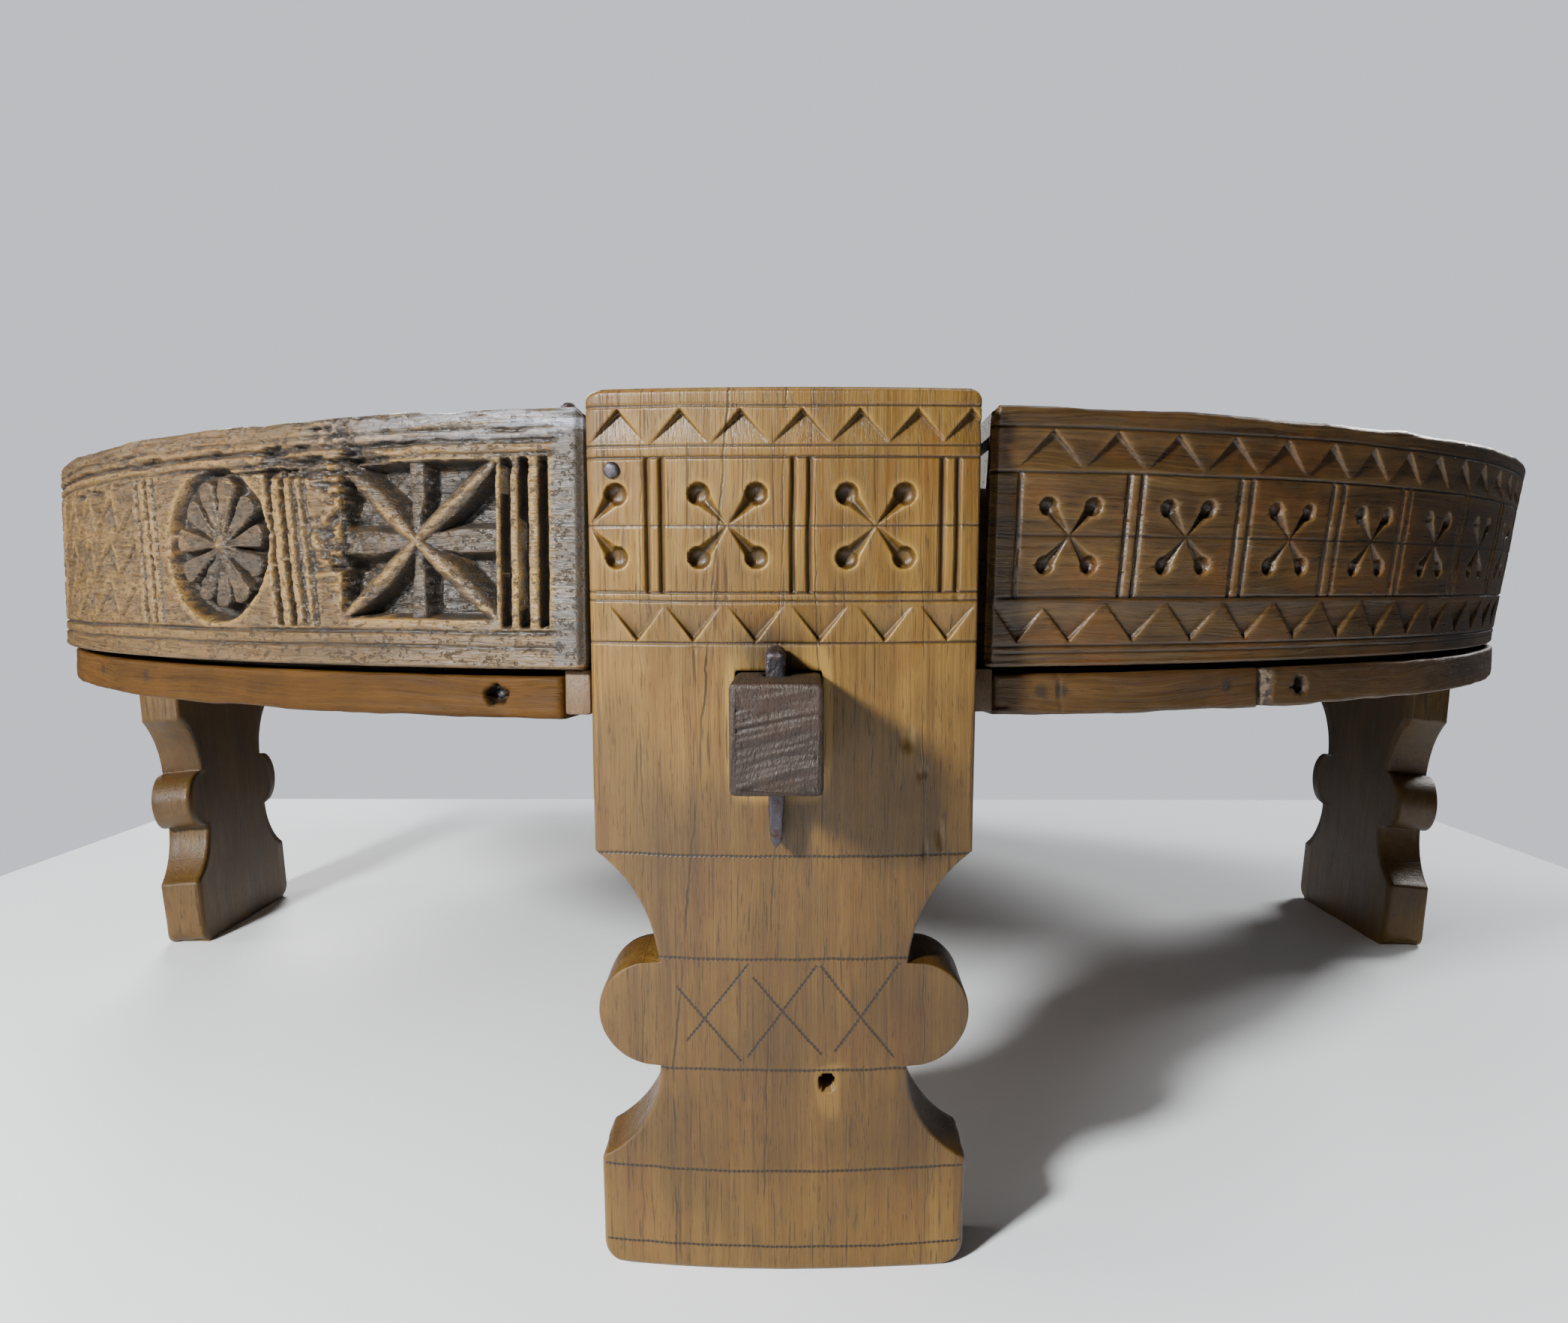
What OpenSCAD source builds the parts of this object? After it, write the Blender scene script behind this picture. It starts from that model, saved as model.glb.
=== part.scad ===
// Round low table: a carved wooden tray rim in four segments, carried by four
// leaning legs. Two cross-lapped beams run under the tray, and their tenons pass
// through the legs, where iron wedges lock them.
// Millimetres, +Z up, origin on the floor at the centre. The front leg faces -Y.

/* [Legs] */
// Radius of the outer face of each leg at the floor
foot_r = 340.8; // [320:0.1:342]
// Lean of each leg, the top outwards, in degrees
lean = 4.4; // [2:0.1:5]
// Height of the legs
leg_h = 242; // [238:1:260]
// Width of a leg at its foot and at its carved upper board
leg_w = 102; // [94:1:106]
// Thickness of a leg at its middle
leg_t = 24.3; // [20:0.1:26]
// Height of the foot's straight side
foot_h = 32; // [28:1:34]
// Height of the middle of the round knob
knob_z = 75.3; // [74:0.1:77]
// Radius of the knob's round ends
knob_r = 14.8; // [13:0.1:15]
// Width of the waists above and below the knob
waist_w = 68; // [60:1:72]
// Height where the upper board starts
board_z = 120.4; // [118:0.1:124]
// Radius of the small hole through the front leg
peg_hole_r = 2.3; // [1.5:0.1:3]

/* [Rim] */
// Radius of the rim's outer face at its top
rim_r = 350; // [346:1:352]
// Radius of the inner face of the rim
rim_inner_r = 318; // [312:1:322]
// Radius at the bottom of the upright segments, carved with a star
star_foot_r = 350; // [346:1:352]
// Radius at the bottom of the tapered segments, carved with crosses
cross_foot_r = 340; // [338:1:345]
// Height of the rim's top edge
rim_top = 240; // [230:1:241]

/* [Tray floor] */
// Height of the underside of the beams
beam_z = 143; // [138:1:146]
// Height of the tray's floor, the beams' top and the rim's bottom
floor_z = 169.5; // [166:0.5:172]
// Thickness of the floor boards
board_t = 12.5; // [10:0.5:14]
// Width of the beams below the boards
beam_w = 56; // [48:1:64]
// Width of the beams between the boards
beam_top_w = 32; // [26:1:36]
// Width of a tenon
tenon_w = 22; // [20:1:24]
// Distance from the centre to the end of a tenon
tenon_r = 388; // [380:1:392]

/* [Band] */
// Height of the band's lower edge
band_z = 155.5; // [154:0.5:157]
// Height of the band
band_h = 12.2; // [11:0.1:12.4]
// Thickness of the band
band_t = 13.5; // [12:0.5:14]

/* [Wedges] */
// Width of a wedge at its head
wedge_w = 5.2; // [4:0.1:6]
// Depth of a wedge at its head
wedge_t = 11.5; // [9:0.1:13]
// Height of a wedge's tip, measured along the leg
wedge_z = 124.5; // [122:0.5:128]
// Length of a wedge
wedge_len = 53; // [50:0.5:56]

/* [Hidden] */
$fn = 96;

// Turn about the centre that carries the front leg to each of the four legs
FRONT = 0;
RIGHT = 90;
BACK = 180;
LEFT = 270;

fit = 0.2;                      // gap left around joints between the wooden pieces
wide = 400;                     // a size larger than anything it cuts

// Leg outline
foot_corner_r = 6;
top_corner_r = 3;
over = 4;                       // spare length that the level cuts remove
lower_flare_r = 32;
upper_flare_r = 40.2;
upper_flare_z = 88;

// Small hole through the front leg, across the leg and up along it
peg_hole_x = 11.9;
peg_hole_z = 56.2;

// Beams and tenons
tenon_h = floor_z - beam_z;
tenon_shift = -1;               // the tenons sit just left of each leg's centre line
lap_z = floor_z - board_t;      // rebates and the half lap share this height

// Wedges
wedge_shift = -1.6;
wedge_gap = 0.4;                // gap between a wedge and the leg's face
wedge_tip_w = 3.4;
wedge_tip_t = 6.5;
wedge_tip_chamfer = 2;
wedge_head_chamfer = 1.4;
slot_clear = 0.35;

// Rim
rim_end_star = 53.2;            // half width of the notch for a leg in a star segment
rim_end_cross = 55.7;           // the same in a cross segment
star_tongue_top = 231;          // height of the tongue behind a leg
cross_tongue_top = 219;
rim_gap_angle = 0.06;           // half of the gap where two tongues meet

// Band and boards
board_gap = 0.5;
board_splits = [beam_top_w / 2 + board_gap, 100, 206, 340];
star_band_r = 347;
cross_band_r = 339.2;
proud_band_r = 340.6;           // the long right band stands a little proud
board_notch_half = leg_w / 2 + 1.2;
board_notch_gap = 2;            // gap between a leg's inner face and the boards
ear_start_angle = 8.2;          // ears of the boards beside each leg, up to the band's end
ear_end_angle = 9.9;
band_end_angle = 9.95;
band_joint_angle = 24.9;

// Nails
nail_r = 1.3;
nail_head_r = 2.3;
nail_head_h = 1.2;
leg_nail_x = 43.8;              // across a leg and up along it, from the middle of its foot
leg_nail_z = 222;
leg_nail_depth = 3;             // how deep the curved face has fallen back there
band_nail_z = 7;                // above the band's lower edge
band_nail_sink = 0.8;

// ---------- frames and cutting shapes ----------

// Coordinates that lean with the front leg: y = 0 on its outer face, +y inwards
module leaning() {
    translate([0, -foot_r, 0]) rotate([lean, 0, 0]) children();
}

// Notch in the floor boards for the front leg
module leg_notch() {
    leaning() translate([-board_notch_half, -60, -20])
        cube([2 * board_notch_half, 60 + leg_t + board_notch_gap, 300]);
}

// Distance from the centre to the plane of a leg's inner face, at height z
function leg_inner(z) = foot_r + z * tan(lean) - (leg_t + fit) / cos(lean);

// Space for the front leg at a segment's end: its pocket, and all above the tongue
module rim_end_cut(half_w, tongue_top) {
    rotate([90, 0, 90]) translate([0, 0, -half_w]) linear_extrude(2 * half_w)
        polygon([[-wide, floor_z - 20], [-leg_inner(floor_z - 20), floor_z - 20],
                 [-leg_inner(tongue_top), tongue_top], [20 - rim_inner_r, tongue_top],
                 [20 - rim_inner_r, rim_top + 20], [-wide, rim_top + 20]]);
}

// Curved bar from one angle to another, with a slanted outer face
module arc_bar(from_angle, to_angle, r_in, r_low, r_high, z_low, z_high) {
    rotate([0, 0, from_angle]) rotate_extrude(angle = to_angle - from_angle, $fn = 360)
        polygon([[r_in, z_low], [r_low, z_low], [r_high, z_high], [r_in, z_high]]);
}

// ---------- legs ----------

module leg_outline() {
    half = leg_w / 2;
    waist = waist_w / 2;
    neck_z = knob_z - knob_r;
    // foot
    translate([-half, foot_corner_r]) square([leg_w, foot_h - foot_corner_r]);
    translate([-half + foot_corner_r, -over]) square([leg_w - 2 * foot_corner_r, foot_h]);
    for (side = [-1, 1])
        translate([side * (half - foot_corner_r), foot_corner_r]) circle(foot_corner_r);
    // flare from the foot up to the lower waist
    difference() {
        translate([-half, foot_h - 1]) square([leg_w, neck_z - foot_h + 1]);
        for (side = [-1, 1])
            translate([side * (waist + lower_flare_r), neck_z]) circle(lower_flare_r);
    }
    // neck between the flare and the knob
    translate([-waist, neck_z - 1]) square([waist_w, 2]);
    // knob
    translate([-half + knob_r, neck_z]) square([leg_w - 2 * knob_r, 2 * knob_r]);
    for (side = [-1, 1])
        translate([side * (half - knob_r), knob_z]) circle(knob_r);
    // waist above the knob, widening to the upper board
    difference() {
        translate([-half, upper_flare_z]) square([leg_w, board_z - upper_flare_z + 1]);
        for (side = [-1, 1])
            translate([side * (waist + upper_flare_r), upper_flare_z]) circle(upper_flare_r);
    }
    // upper board
    translate([-half, board_z]) square([leg_w, leg_h - top_corner_r - board_z]);
    translate([-half + top_corner_r, board_z])
        square([leg_w - 2 * top_corner_r, leg_h + over - board_z]);
    for (side = [-1, 1])
        translate([side * (half - top_corner_r), leg_h - top_corner_r]) circle(top_corner_r);
}

module leg(turn, peg_hole = false) {
    color("peru") rotate([0, 0, turn]) difference() {
        intersection() {
            leaning() translate([0, leg_t, 0]) rotate([90, 0, 0])
                linear_extrude(leg_t) leg_outline();
            leaning() translate([0, foot_r, -20]) cylinder(r = foot_r, h = 300, $fn = 360);
            translate([-wide / 2, -wide, 0]) cube([wide, 120, leg_h]);
        }
        translate([tenon_shift - tenon_w / 2 - fit, -wide, beam_z - fit])
            cube([tenon_w + 2 * fit, 120, tenon_h + 2 * fit]);
        if (peg_hole)
            leaning() translate([peg_hole_x, -10, peg_hole_z]) rotate([-90, 0, 0])
                cylinder(r = peg_hole_r, h = 60);
    }
}

// ---------- beams ----------

module wedge_slot() {
    leaning()
        translate([wedge_shift - wedge_w / 2 - slot_clear, -wedge_gap - wedge_t - slot_clear,
                   beam_z - 20])
        cube([wedge_w + 2 * slot_clear, wedge_t + wedge_gap + slot_clear, tenon_h + 40]);
}

module tenon() {
    difference() {
        translate([tenon_shift - tenon_w / 2, -tenon_r, beam_z])
            cube([tenon_w, tenon_r - 300, tenon_h]);
        wedge_slot();
    }
}

// A beam along Y: wide below, narrower between the floor boards, with a tenon at each end
module beam_blank() {
    difference() {
        union() {
            translate([-beam_w / 2, -wide, beam_z]) cube([beam_w, 2 * wide, lap_z - beam_z]);
            translate([-beam_top_w / 2, -wide, beam_z]) cube([beam_top_w, 2 * wide, tenon_h]);
        }
        for (end = [FRONT, BACK])
            rotate([0, 0, end]) leaning()
                translate([-wide / 2, -80, 0]) cube([wide, 80 + leg_t + fit, 300]);
    }
    for (end = [FRONT, BACK]) rotate([0, 0, end]) tenon();
}

module beam_long() {
    color("saddlebrown") difference() {
        beam_blank();
        translate([-beam_w, -beam_top_w / 2 - fit, lap_z])
            cube([2 * beam_w, beam_top_w + 2 * fit, tenon_h]);
    }
}

module beam_cross() {
    color("sienna") rotate([0, 0, 90]) difference() {
        beam_blank();
        translate([-beam_w, -beam_w / 2 - fit, beam_z - 1])
            cube([2 * beam_w, beam_w + 2 * fit, lap_z - beam_z + 1]);
    }
}

// ---------- wedges ----------

module wedge(turn) {
    top = wedge_z + wedge_len;
    color("dimgray") rotate([0, 0, turn]) leaning() translate([wedge_shift, -wedge_gap, 0])
        intersection() {
            // side view: straight against the leg, tapering on the outside
            rotate([90, 0, 90]) translate([0, 0, -wedge_w]) linear_extrude(2 * wedge_w)
                polygon([[0, wedge_z], [-wedge_tip_t, wedge_z], [-wedge_t, floor_z + 1],
                         [-wedge_t, top - wedge_head_chamfer], [-wedge_t + wedge_head_chamfer, top],
                         [-wedge_head_chamfer, top], [0, top - wedge_head_chamfer]]);
            // front view: tapering to a chamfered tip
            translate([0, wedge_t, 0]) rotate([90, 0, 0]) linear_extrude(3 * wedge_t)
                polygon([[-wedge_w / 2, beam_z + 2], [-wedge_tip_w / 2, wedge_z + wedge_tip_chamfer],
                         [0, wedge_z - 0.1], [wedge_tip_w / 2, wedge_z + wedge_tip_chamfer],
                         [wedge_w / 2, beam_z + 2], [wedge_w / 2, top - wedge_head_chamfer],
                         [wedge_w / 4, top], [-wedge_w / 4, top],
                         [-wedge_w / 2, top - wedge_head_chamfer]]);
        }
}

// ---------- rim ----------

// A quarter of the rim from the leg at start to the next leg, anticlockwise
module rim_segment(start, low_r, end_half, tongue_top) {
    rotate([0, 0, start]) difference() {
        arc_bar(-90 + rim_gap_angle, -rim_gap_angle, rim_inner_r, low_r, rim_r,
                floor_z, rim_top);
        for (turn = [FRONT, RIGHT])
            rotate([0, 0, turn]) rim_end_cut(end_half, tongue_top);
    }
}

module star_rim(start) {
    color("tan") rim_segment(start, star_foot_r, rim_end_star, star_tongue_top);
}

module cross_rim(start) {
    color("brown") rim_segment(start, cross_foot_r, rim_end_cross, cross_tongue_top);
}

// ---------- band ----------

// Part of the band, from angles measured anticlockwise past the leg at start
module band(start, from_angle, to_angle, outer_r) {
    color("chocolate") rotate([0, 0, start - 90])
        arc_bar(from_angle, to_angle, outer_r - band_t, outer_r, outer_r,
                band_z, band_z + band_h);
}

// ---------- floor boards ----------

// One board of the right front quarter, between two distances from the long beam
module board_slice(near_x, far_x, edge_r) {
    reach = edge_r - band_t - fit;
    difference() {
        union() {
            intersection() {
                translate([near_x, -wide, lap_z])
                    cube([far_x - near_x - board_gap, wide - beam_top_w / 2 - board_gap, board_t]);
                translate([0, 0, lap_z]) cylinder(r = reach, h = board_t, $fn = 360);
            }
            // ears beside the legs close the ring of the band
            if (near_x < board_notch_half) board_ear(FRONT, 1, edge_r);
            if (far_x > reach) board_ear(RIGHT, -1, edge_r);
        }
        for (turn = [FRONT, RIGHT]) rotate([0, 0, turn]) leg_notch();
    }
}

module board_ear(turn, side, edge_r) {
    from_angle = side > 0 ? ear_start_angle : -ear_end_angle;
    rotate([0, 0, turn - 90])
        arc_bar(from_angle, from_angle + ear_end_angle - ear_start_angle,
                edge_r - 20, edge_r - 1, edge_r - 1, lap_z, floor_z);
}

// mirror_x and mirror_y carry the right front quarter to the other quarters
module board(mirror_x, mirror_y, index, edge_r) {
    color("burlywood") mirror([mirror_x, 0, 0]) mirror([0, mirror_y, 0])
        board_slice(board_splits[index], board_splits[index + 1], edge_r);
}

// ---------- nails ----------

// A nail along -Z with its head's underside at z = 0
module nail(len) {
    translate([0, 0, -len]) cylinder(r = nail_r, h = len, $fn = 24);
    cylinder(r1 = nail_head_r, r2 = nail_head_r * 0.7, h = nail_head_h, $fn = 24);
}

// Through each leg into the tongue of a star segment
module leg_nails() {
    color("gray") for (turn = [FRONT, RIGHT, BACK, LEFT]) {
        side = turn % 180 == 0 ? -1 : 1;
        rotate([0, 0, turn]) leaning()
            translate([side * leg_nail_x, leg_nail_depth, leg_nail_z]) rotate([90, 0, 0])
            nail(34);
    }
}

// Square nails driven slanting from each leg's edge into the end of a cross segment
module gap_nails() {
    color("gray") for (turn = [FRONT, RIGHT, BACK, LEFT]) {
        side = turn % 180 == 0 ? 1 : -1;
        rotate([0, 0, turn]) translate([side * 53.4, -337, 228.5]) rotate([0, side * 50, 0])
            translate([-1.3, -1.3, -6]) cube([2.6, 2.6, 13]);
    }
}

// Down through the top edge of each star segment, close to its ends
module rim_nails() {
    color("gray") for (start = [LEFT, RIGHT], end_angle = [9.9, 80.1])
        rotate([0, 0, start - 90 + end_angle]) translate([341, 0, rim_top - 0.6]) nail(30);
}

// Through the band into the edges of the floor boards
module band_nails() {
    color("gray") {
        for (start = [LEFT, RIGHT], angle = [13.3, 45, 76.7])
            band_nail(start + angle, star_band_r);
        for (angle = [13.3, 45, 76.7])
            band_nail(BACK + angle, cross_band_r);
        for (angle = [12.3, 22.6])
            band_nail(FRONT + angle, cross_band_r);
        for (angle = [27.4, 52, 76.7])
            band_nail(FRONT + angle, proud_band_r);
    }
}

module band_nail(angle, face_r) {
    rotate([0, 0, angle]) translate([0, band_nail_sink - face_r, band_z + band_nail_z])
        rotate([90, 0, 0]) nail(34);
}

// Down through the ends of the floor boards into the rebates of the cross beam
module floor_nails() {
    row_y = beam_top_w / 2 + 6;
    color("gray") for (x = [34, 82, 118, 188, 224, 300], sx = [-1, 1], sy = [-1, 1])
        translate([sx * x, sy * row_y, floor_z]) nail(22);
}

// ---------- nodes ----------

leg(FRONT, peg_hole = true);  // leg_front
leg(RIGHT);  // leg_right
leg(BACK);  // leg_back
leg(LEFT);  // leg_left
beam_long();
beam_cross();
wedge(FRONT);  // wedge_front
wedge(RIGHT);  // wedge_right
wedge(BACK);  // wedge_back
wedge(LEFT);  // wedge_left
cross_rim(FRONT);  // rim_front_right
star_rim(RIGHT);  // rim_back_right
cross_rim(BACK);  // rim_back_left
star_rim(LEFT);  // rim_front_left
band(LEFT, band_end_angle, 90 - band_end_angle, star_band_r);  // band_front_left
band(FRONT, band_end_angle, band_joint_angle - 0.05, cross_band_r);  // band_front_right_short
band(FRONT, band_joint_angle + 0.05, 90 - band_end_angle, proud_band_r);  // band_front_right_long
band(BACK, band_end_angle, 90 - band_end_angle, cross_band_r);  // band_back_left
band(RIGHT, band_end_angle, 90 - band_end_angle, star_band_r);  // band_back_right
board(0, 0, 0, cross_band_r);  // board_front_right_inner
board(0, 0, 1, cross_band_r);  // board_front_right_middle
board(0, 0, 2, cross_band_r);  // board_front_right_outer
board(1, 0, 0, star_band_r);  // board_front_left_inner
board(1, 0, 1, star_band_r);  // board_front_left_middle
board(1, 0, 2, star_band_r);  // board_front_left_outer
board(0, 1, 0, star_band_r);  // board_back_right_inner
board(0, 1, 1, star_band_r);  // board_back_right_middle
board(0, 1, 2, star_band_r);  // board_back_right_outer
board(1, 1, 0, cross_band_r);  // board_back_left_inner
board(1, 1, 1, cross_band_r);  // board_back_left_middle
board(1, 1, 2, cross_band_r);  // board_back_left_outer
leg_nails();
gap_nails();
rim_nails();
band_nails();
floor_nails();
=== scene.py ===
"""Looks of a low round carved tray table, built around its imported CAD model.

Lengths are millimetres in the frame's own axes, and become metres when a mesh is made.
The stage at the end is in metres.
"""

import functools
import math

import bmesh
import bpy
import numpy as np
from mathutils import Matrix, Vector


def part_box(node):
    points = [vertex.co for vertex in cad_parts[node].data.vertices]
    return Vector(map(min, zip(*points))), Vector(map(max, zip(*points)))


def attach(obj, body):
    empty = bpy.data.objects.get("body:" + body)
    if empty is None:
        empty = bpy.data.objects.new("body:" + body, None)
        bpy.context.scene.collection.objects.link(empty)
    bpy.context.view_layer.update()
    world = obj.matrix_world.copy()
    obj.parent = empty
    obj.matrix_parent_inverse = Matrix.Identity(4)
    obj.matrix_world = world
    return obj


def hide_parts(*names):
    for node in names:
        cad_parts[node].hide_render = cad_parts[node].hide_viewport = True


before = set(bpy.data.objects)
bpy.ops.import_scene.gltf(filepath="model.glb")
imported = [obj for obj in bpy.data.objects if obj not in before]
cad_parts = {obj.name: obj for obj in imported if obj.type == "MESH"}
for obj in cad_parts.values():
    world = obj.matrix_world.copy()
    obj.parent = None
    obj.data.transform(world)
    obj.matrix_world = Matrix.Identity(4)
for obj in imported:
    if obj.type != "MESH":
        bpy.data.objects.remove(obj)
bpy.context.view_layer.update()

MM = 0.001
QUARTERS = {"front": 0, "right": 90, "back": 180, "left": 270}


# ---------- the frame's own sizes ----------

def low_mm(node):
    return np.array(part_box(node)[0]) / MM


def high_mm(node):
    return np.array(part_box(node)[1]) / MM


LEG_H = high_mm("leg_front")[2]
LEG_HALF = high_mm("leg_front")[0]
LEAN = math.radians(4.4)
LEG_TOP_R = -low_mm("leg_front")[1]
FOOT_R = LEG_TOP_R - LEG_H * math.tan(LEAN)
LEG_T = 24.3
FLOOR_Z = low_mm("rim_front_left")[2]
RIM_TOP = high_mm("rim_front_left")[2]
RIM_R = 350.0
RIM_IN = 318.0
BEAM_Z = low_mm("beam_long")[2]
TENON_R = high_mm("beam_long")[1]
BAND_Z = low_mm("band_front_left")[2]
BAND_TOP = high_mm("band_front_left")[2]

# Leg outline, in heights along the lean
FOOT_H = 32.0
FOOT_CORNER = 6.0
TOP_CORNER = 3.0
KNOB_Z = 75.3
KNOB_R = 14.8
WAIST = 34.0
LOWER_FLARE = 32.0
UPPER_FLARE = 40.2
UPPER_FLARE_Z = 88.0
BOARD_Z = 120.4

TENON_W = 22.0
TENON_SHIFT = -1.0
ARC = math.radians(1) * RIM_R  # along the rim for each degree


# ---------- noise ----------

def lattice(ix, iy, seed):
    """A random number from 0 to 1 for each whole-number point."""
    h = ix.astype(np.int64) * 374761393 + iy.astype(np.int64) * 668265263 + seed * 974634777
    h = (h ^ (h >> 13)) * 1274126177
    h = (h ^ (h >> 16)) & 0xFFFFFF
    return h / float(0xFFFFFF)


def noise(x, y, seed):
    """Smooth noise from -1 to 1 with a grid of one unit."""
    ix, iy = np.floor(x), np.floor(y)
    fx, fy = x - ix, y - iy
    fx, fy = fx * fx * (3 - 2 * fx), fy * fy * (3 - 2 * fy)
    a, b = lattice(ix, iy, seed), lattice(ix + 1, iy, seed)
    c, d = lattice(ix, iy + 1, seed), lattice(ix + 1, iy + 1, seed)
    return 2 * (a + (b - a) * fx + (c - a) * fy + (a - b - c + d) * fx * fy) - 1


def fbm(x, y, seed, octaves=4):
    total, size = 0.0, 0.5
    for k in range(octaves):
        total = total + size * noise(x * 2 ** k, y * 2 ** k, seed + 31 * k)
        size *= 0.5
    return total


def smooth(low, high, x):
    t = np.clip((x - low) / (high - low), 0, 1)
    return t * t * (3 - 2 * t)


# ---------- carving: depths below a face, in millimetres ----------

def vee(distance, width, depth):
    """A V-shaped groove along the line where distance is zero."""
    return depth * np.clip(1 - np.abs(distance) / (width / 2), 0, 1)


def deepest(cuts):
    return functools.reduce(np.maximum, cuts)


def within(x, low, high, soft=0.4):
    return np.clip((x - low) / soft + 0.5, 0, 1) * np.clip((high - x) / soft + 0.5, 0, 1)


def chip(u, z, apex_u, base_z, apex_z, half, depth, walls):
    """A triangular chip cut: level with the face at its base and deepest at its apex."""
    t = (z - base_z) / (apex_z - base_z)
    slope = abs(apex_z - base_z) / math.hypot(apex_z - base_z, half)
    left = (u - (apex_u - half * (1 - t))) * slope
    right = ((apex_u + half * (1 - t)) - u) * slope
    cut = depth * np.clip(t, 0, 1) ** 0.8
    cut = np.minimum(cut, np.clip(left, 0, None) * depth / walls[0])
    cut = np.minimum(cut, np.clip(right, 0, None) * depth / walls[1])
    return np.where((t > 0) & (t < 1.0), cut, 0.0)


def drop(u, z, centre, angle, length, radius, depth):
    """A drop-shaped cut from a centre outwards: a fine point that widens to a round head."""
    du, dz = u - centre[0], z - centre[1]
    along = du * math.cos(angle) + dz * math.sin(angle)
    across = -du * math.sin(angle) + dz * math.cos(angle)
    share = np.clip(along / length, 0, 1)
    half = 0.2 + (radius * 0.92 - 0.2) * share ** 1.2
    tail = depth * share ** 0.8 * np.clip(1.25 * (1 - np.abs(across) / half), 0, 1)
    tail = np.where((along > 0) & (along < length), tail, 0)
    r = np.hypot(along - length, across) / radius
    head = depth * 1.1 * np.clip(1 - r ** 3, 0, 1) ** 0.5
    return np.maximum(tail, head)


def cross_motif(u, z, centre, spread, radius, depth, arms=(0, 1, 2, 3)):
    """Drops along both diagonals of a panel; spread is how far their heads stand off."""
    cut = np.zeros_like(u)
    for k in arms:
        du = spread[0] * (1 if k in (0, 3) else -1)
        dz = spread[1] * (1 if k in (0, 1) else -1)
        cut = np.maximum(cut, drop(u, z, centre, math.atan2(dz, du), math.hypot(du, dz),
                                   radius, depth))
    return cut


def blurred(a, reach):
    """The mean of an array over reach cells each way, taken twice."""
    for axis in (0, 1, 0, 1):
        moved = np.moveaxis(a, axis, 0)
        padded = np.concatenate([moved[:1]] * (reach + 1) + [moved] + [moved[-1:]] * reach)
        total = np.cumsum(padded, axis=0)
        a = np.moveaxis((total[2 * reach + 1:] - total[:-2 * reach - 1]) / (2 * reach + 1), 0, axis)
    return a


def dirt_and_cavity_shade(cut, dirt_and_shade_at):
    """Dirt and painted shade in cuts and hollows, from 0 to 1, and where edges are rubbed bare,
    below 0.
    """
    hollow = cut - blurred(cut, 5)
    dirt_and_shade = np.clip((cut - 0.4) / dirt_and_shade_at, 0, 1) * 0.6 + np.clip(hollow - 0.1, 0, 1.2) * 0.9
    rubbed = np.clip(-hollow - 0.15, 0, 1)
    return np.clip(dirt_and_shade, 0, 1) - rubbed * (dirt_and_shade < 0.2)


# ---------- meshes ----------

def closed_faces(rows, cols):
    """Quads of a tube with rows sections of cols points, and both end caps."""
    r, c = np.meshgrid(np.arange(rows - 1), np.arange(cols), indexing="ij")
    n = (c + 1) % cols
    quads = np.stack([r * cols + c, (r + 1) * cols + c, (r + 1) * cols + n, r * cols + n], -1)
    first = np.arange(cols)
    last = (rows - 1) * cols + np.arange(cols)[::-1]
    return quads.reshape(-1, 4), [first, last]


def linked(name, data):
    obj = bpy.data.objects.new(name, data)
    bpy.context.scene.collection.objects.link(obj)
    return obj


def mesh_object(name, points, quads, caps=()):
    """A closed mesh object from points in millimetres, with its faces turned outwards."""
    points = np.asarray(points, float)
    a, b, c, d = (points[quads[:, k]] for k in range(4))
    volume = np.sum(np.cross(b - a, c - a) * a) + np.sum(np.cross(c - a, d - a) * a)
    if volume < 0:
        quads = quads[:, ::-1]
        caps = [cap[::-1] for cap in caps]
    mesh = bpy.data.meshes.new(name)
    sizes = np.concatenate([np.full(len(quads), 4), [len(c) for c in caps]]).astype(np.int32)
    corners = np.concatenate([quads.reshape(-1)] + [np.asarray(c) for c in caps])
    mesh.vertices.add(len(points))
    mesh.vertices.foreach_set("co", (points * MM).astype(np.float32).ravel())
    mesh.loops.add(len(corners))
    mesh.loops.foreach_set("vertex_index", corners.astype(np.int32))
    mesh.polygons.add(len(sizes))
    starts = np.concatenate([[0], np.cumsum(sizes)[:-1]]).astype(np.int32)
    mesh.polygons.foreach_set("loop_start", starts)
    mesh.polygons.foreach_set("use_smooth", np.ones(len(sizes), bool))
    mesh.update(calc_edges=True)
    mesh.validate()
    return linked(name, mesh)


def lofted(name, section, turn):
    """A closed object through rows of points, turned about the table's axis."""
    quads, caps = closed_faces(*section.shape[:2])
    return mesh_object(name, turned(section.reshape(-1, 3), turn), quads, caps)


def from_bmesh(name, bm):
    mesh = bpy.data.meshes.new(name)
    bm.to_mesh(mesh)
    bm.free()
    return linked(name, mesh)


def points_mm(obj):
    co = np.empty(len(obj.data.vertices) * 3, np.float32)
    obj.data.vertices.foreach_get("co", co)
    return co.reshape(-1, 3).astype(float) / MM


def paint(obj, grain, dirt_and_shade=0.0, face=1.0):
    """Stores what the materials read: place in the wood in mm, dirt with painted shade, and what is
    a face.
    """
    layer = obj.data.attributes.new("grain", "FLOAT_VECTOR", "POINT")
    layer.data.foreach_set("vector", np.asarray(grain, np.float32).ravel())
    for name, values in (("dirt_and_shade", dirt_and_shade), ("face", face)):
        layer = obj.data.attributes.new(name, "FLOAT", "POINT")
        values = np.broadcast_to(np.ravel(values), len(obj.data.vertices))
        layer.data.foreach_set("value", values.astype(np.float32))


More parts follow.
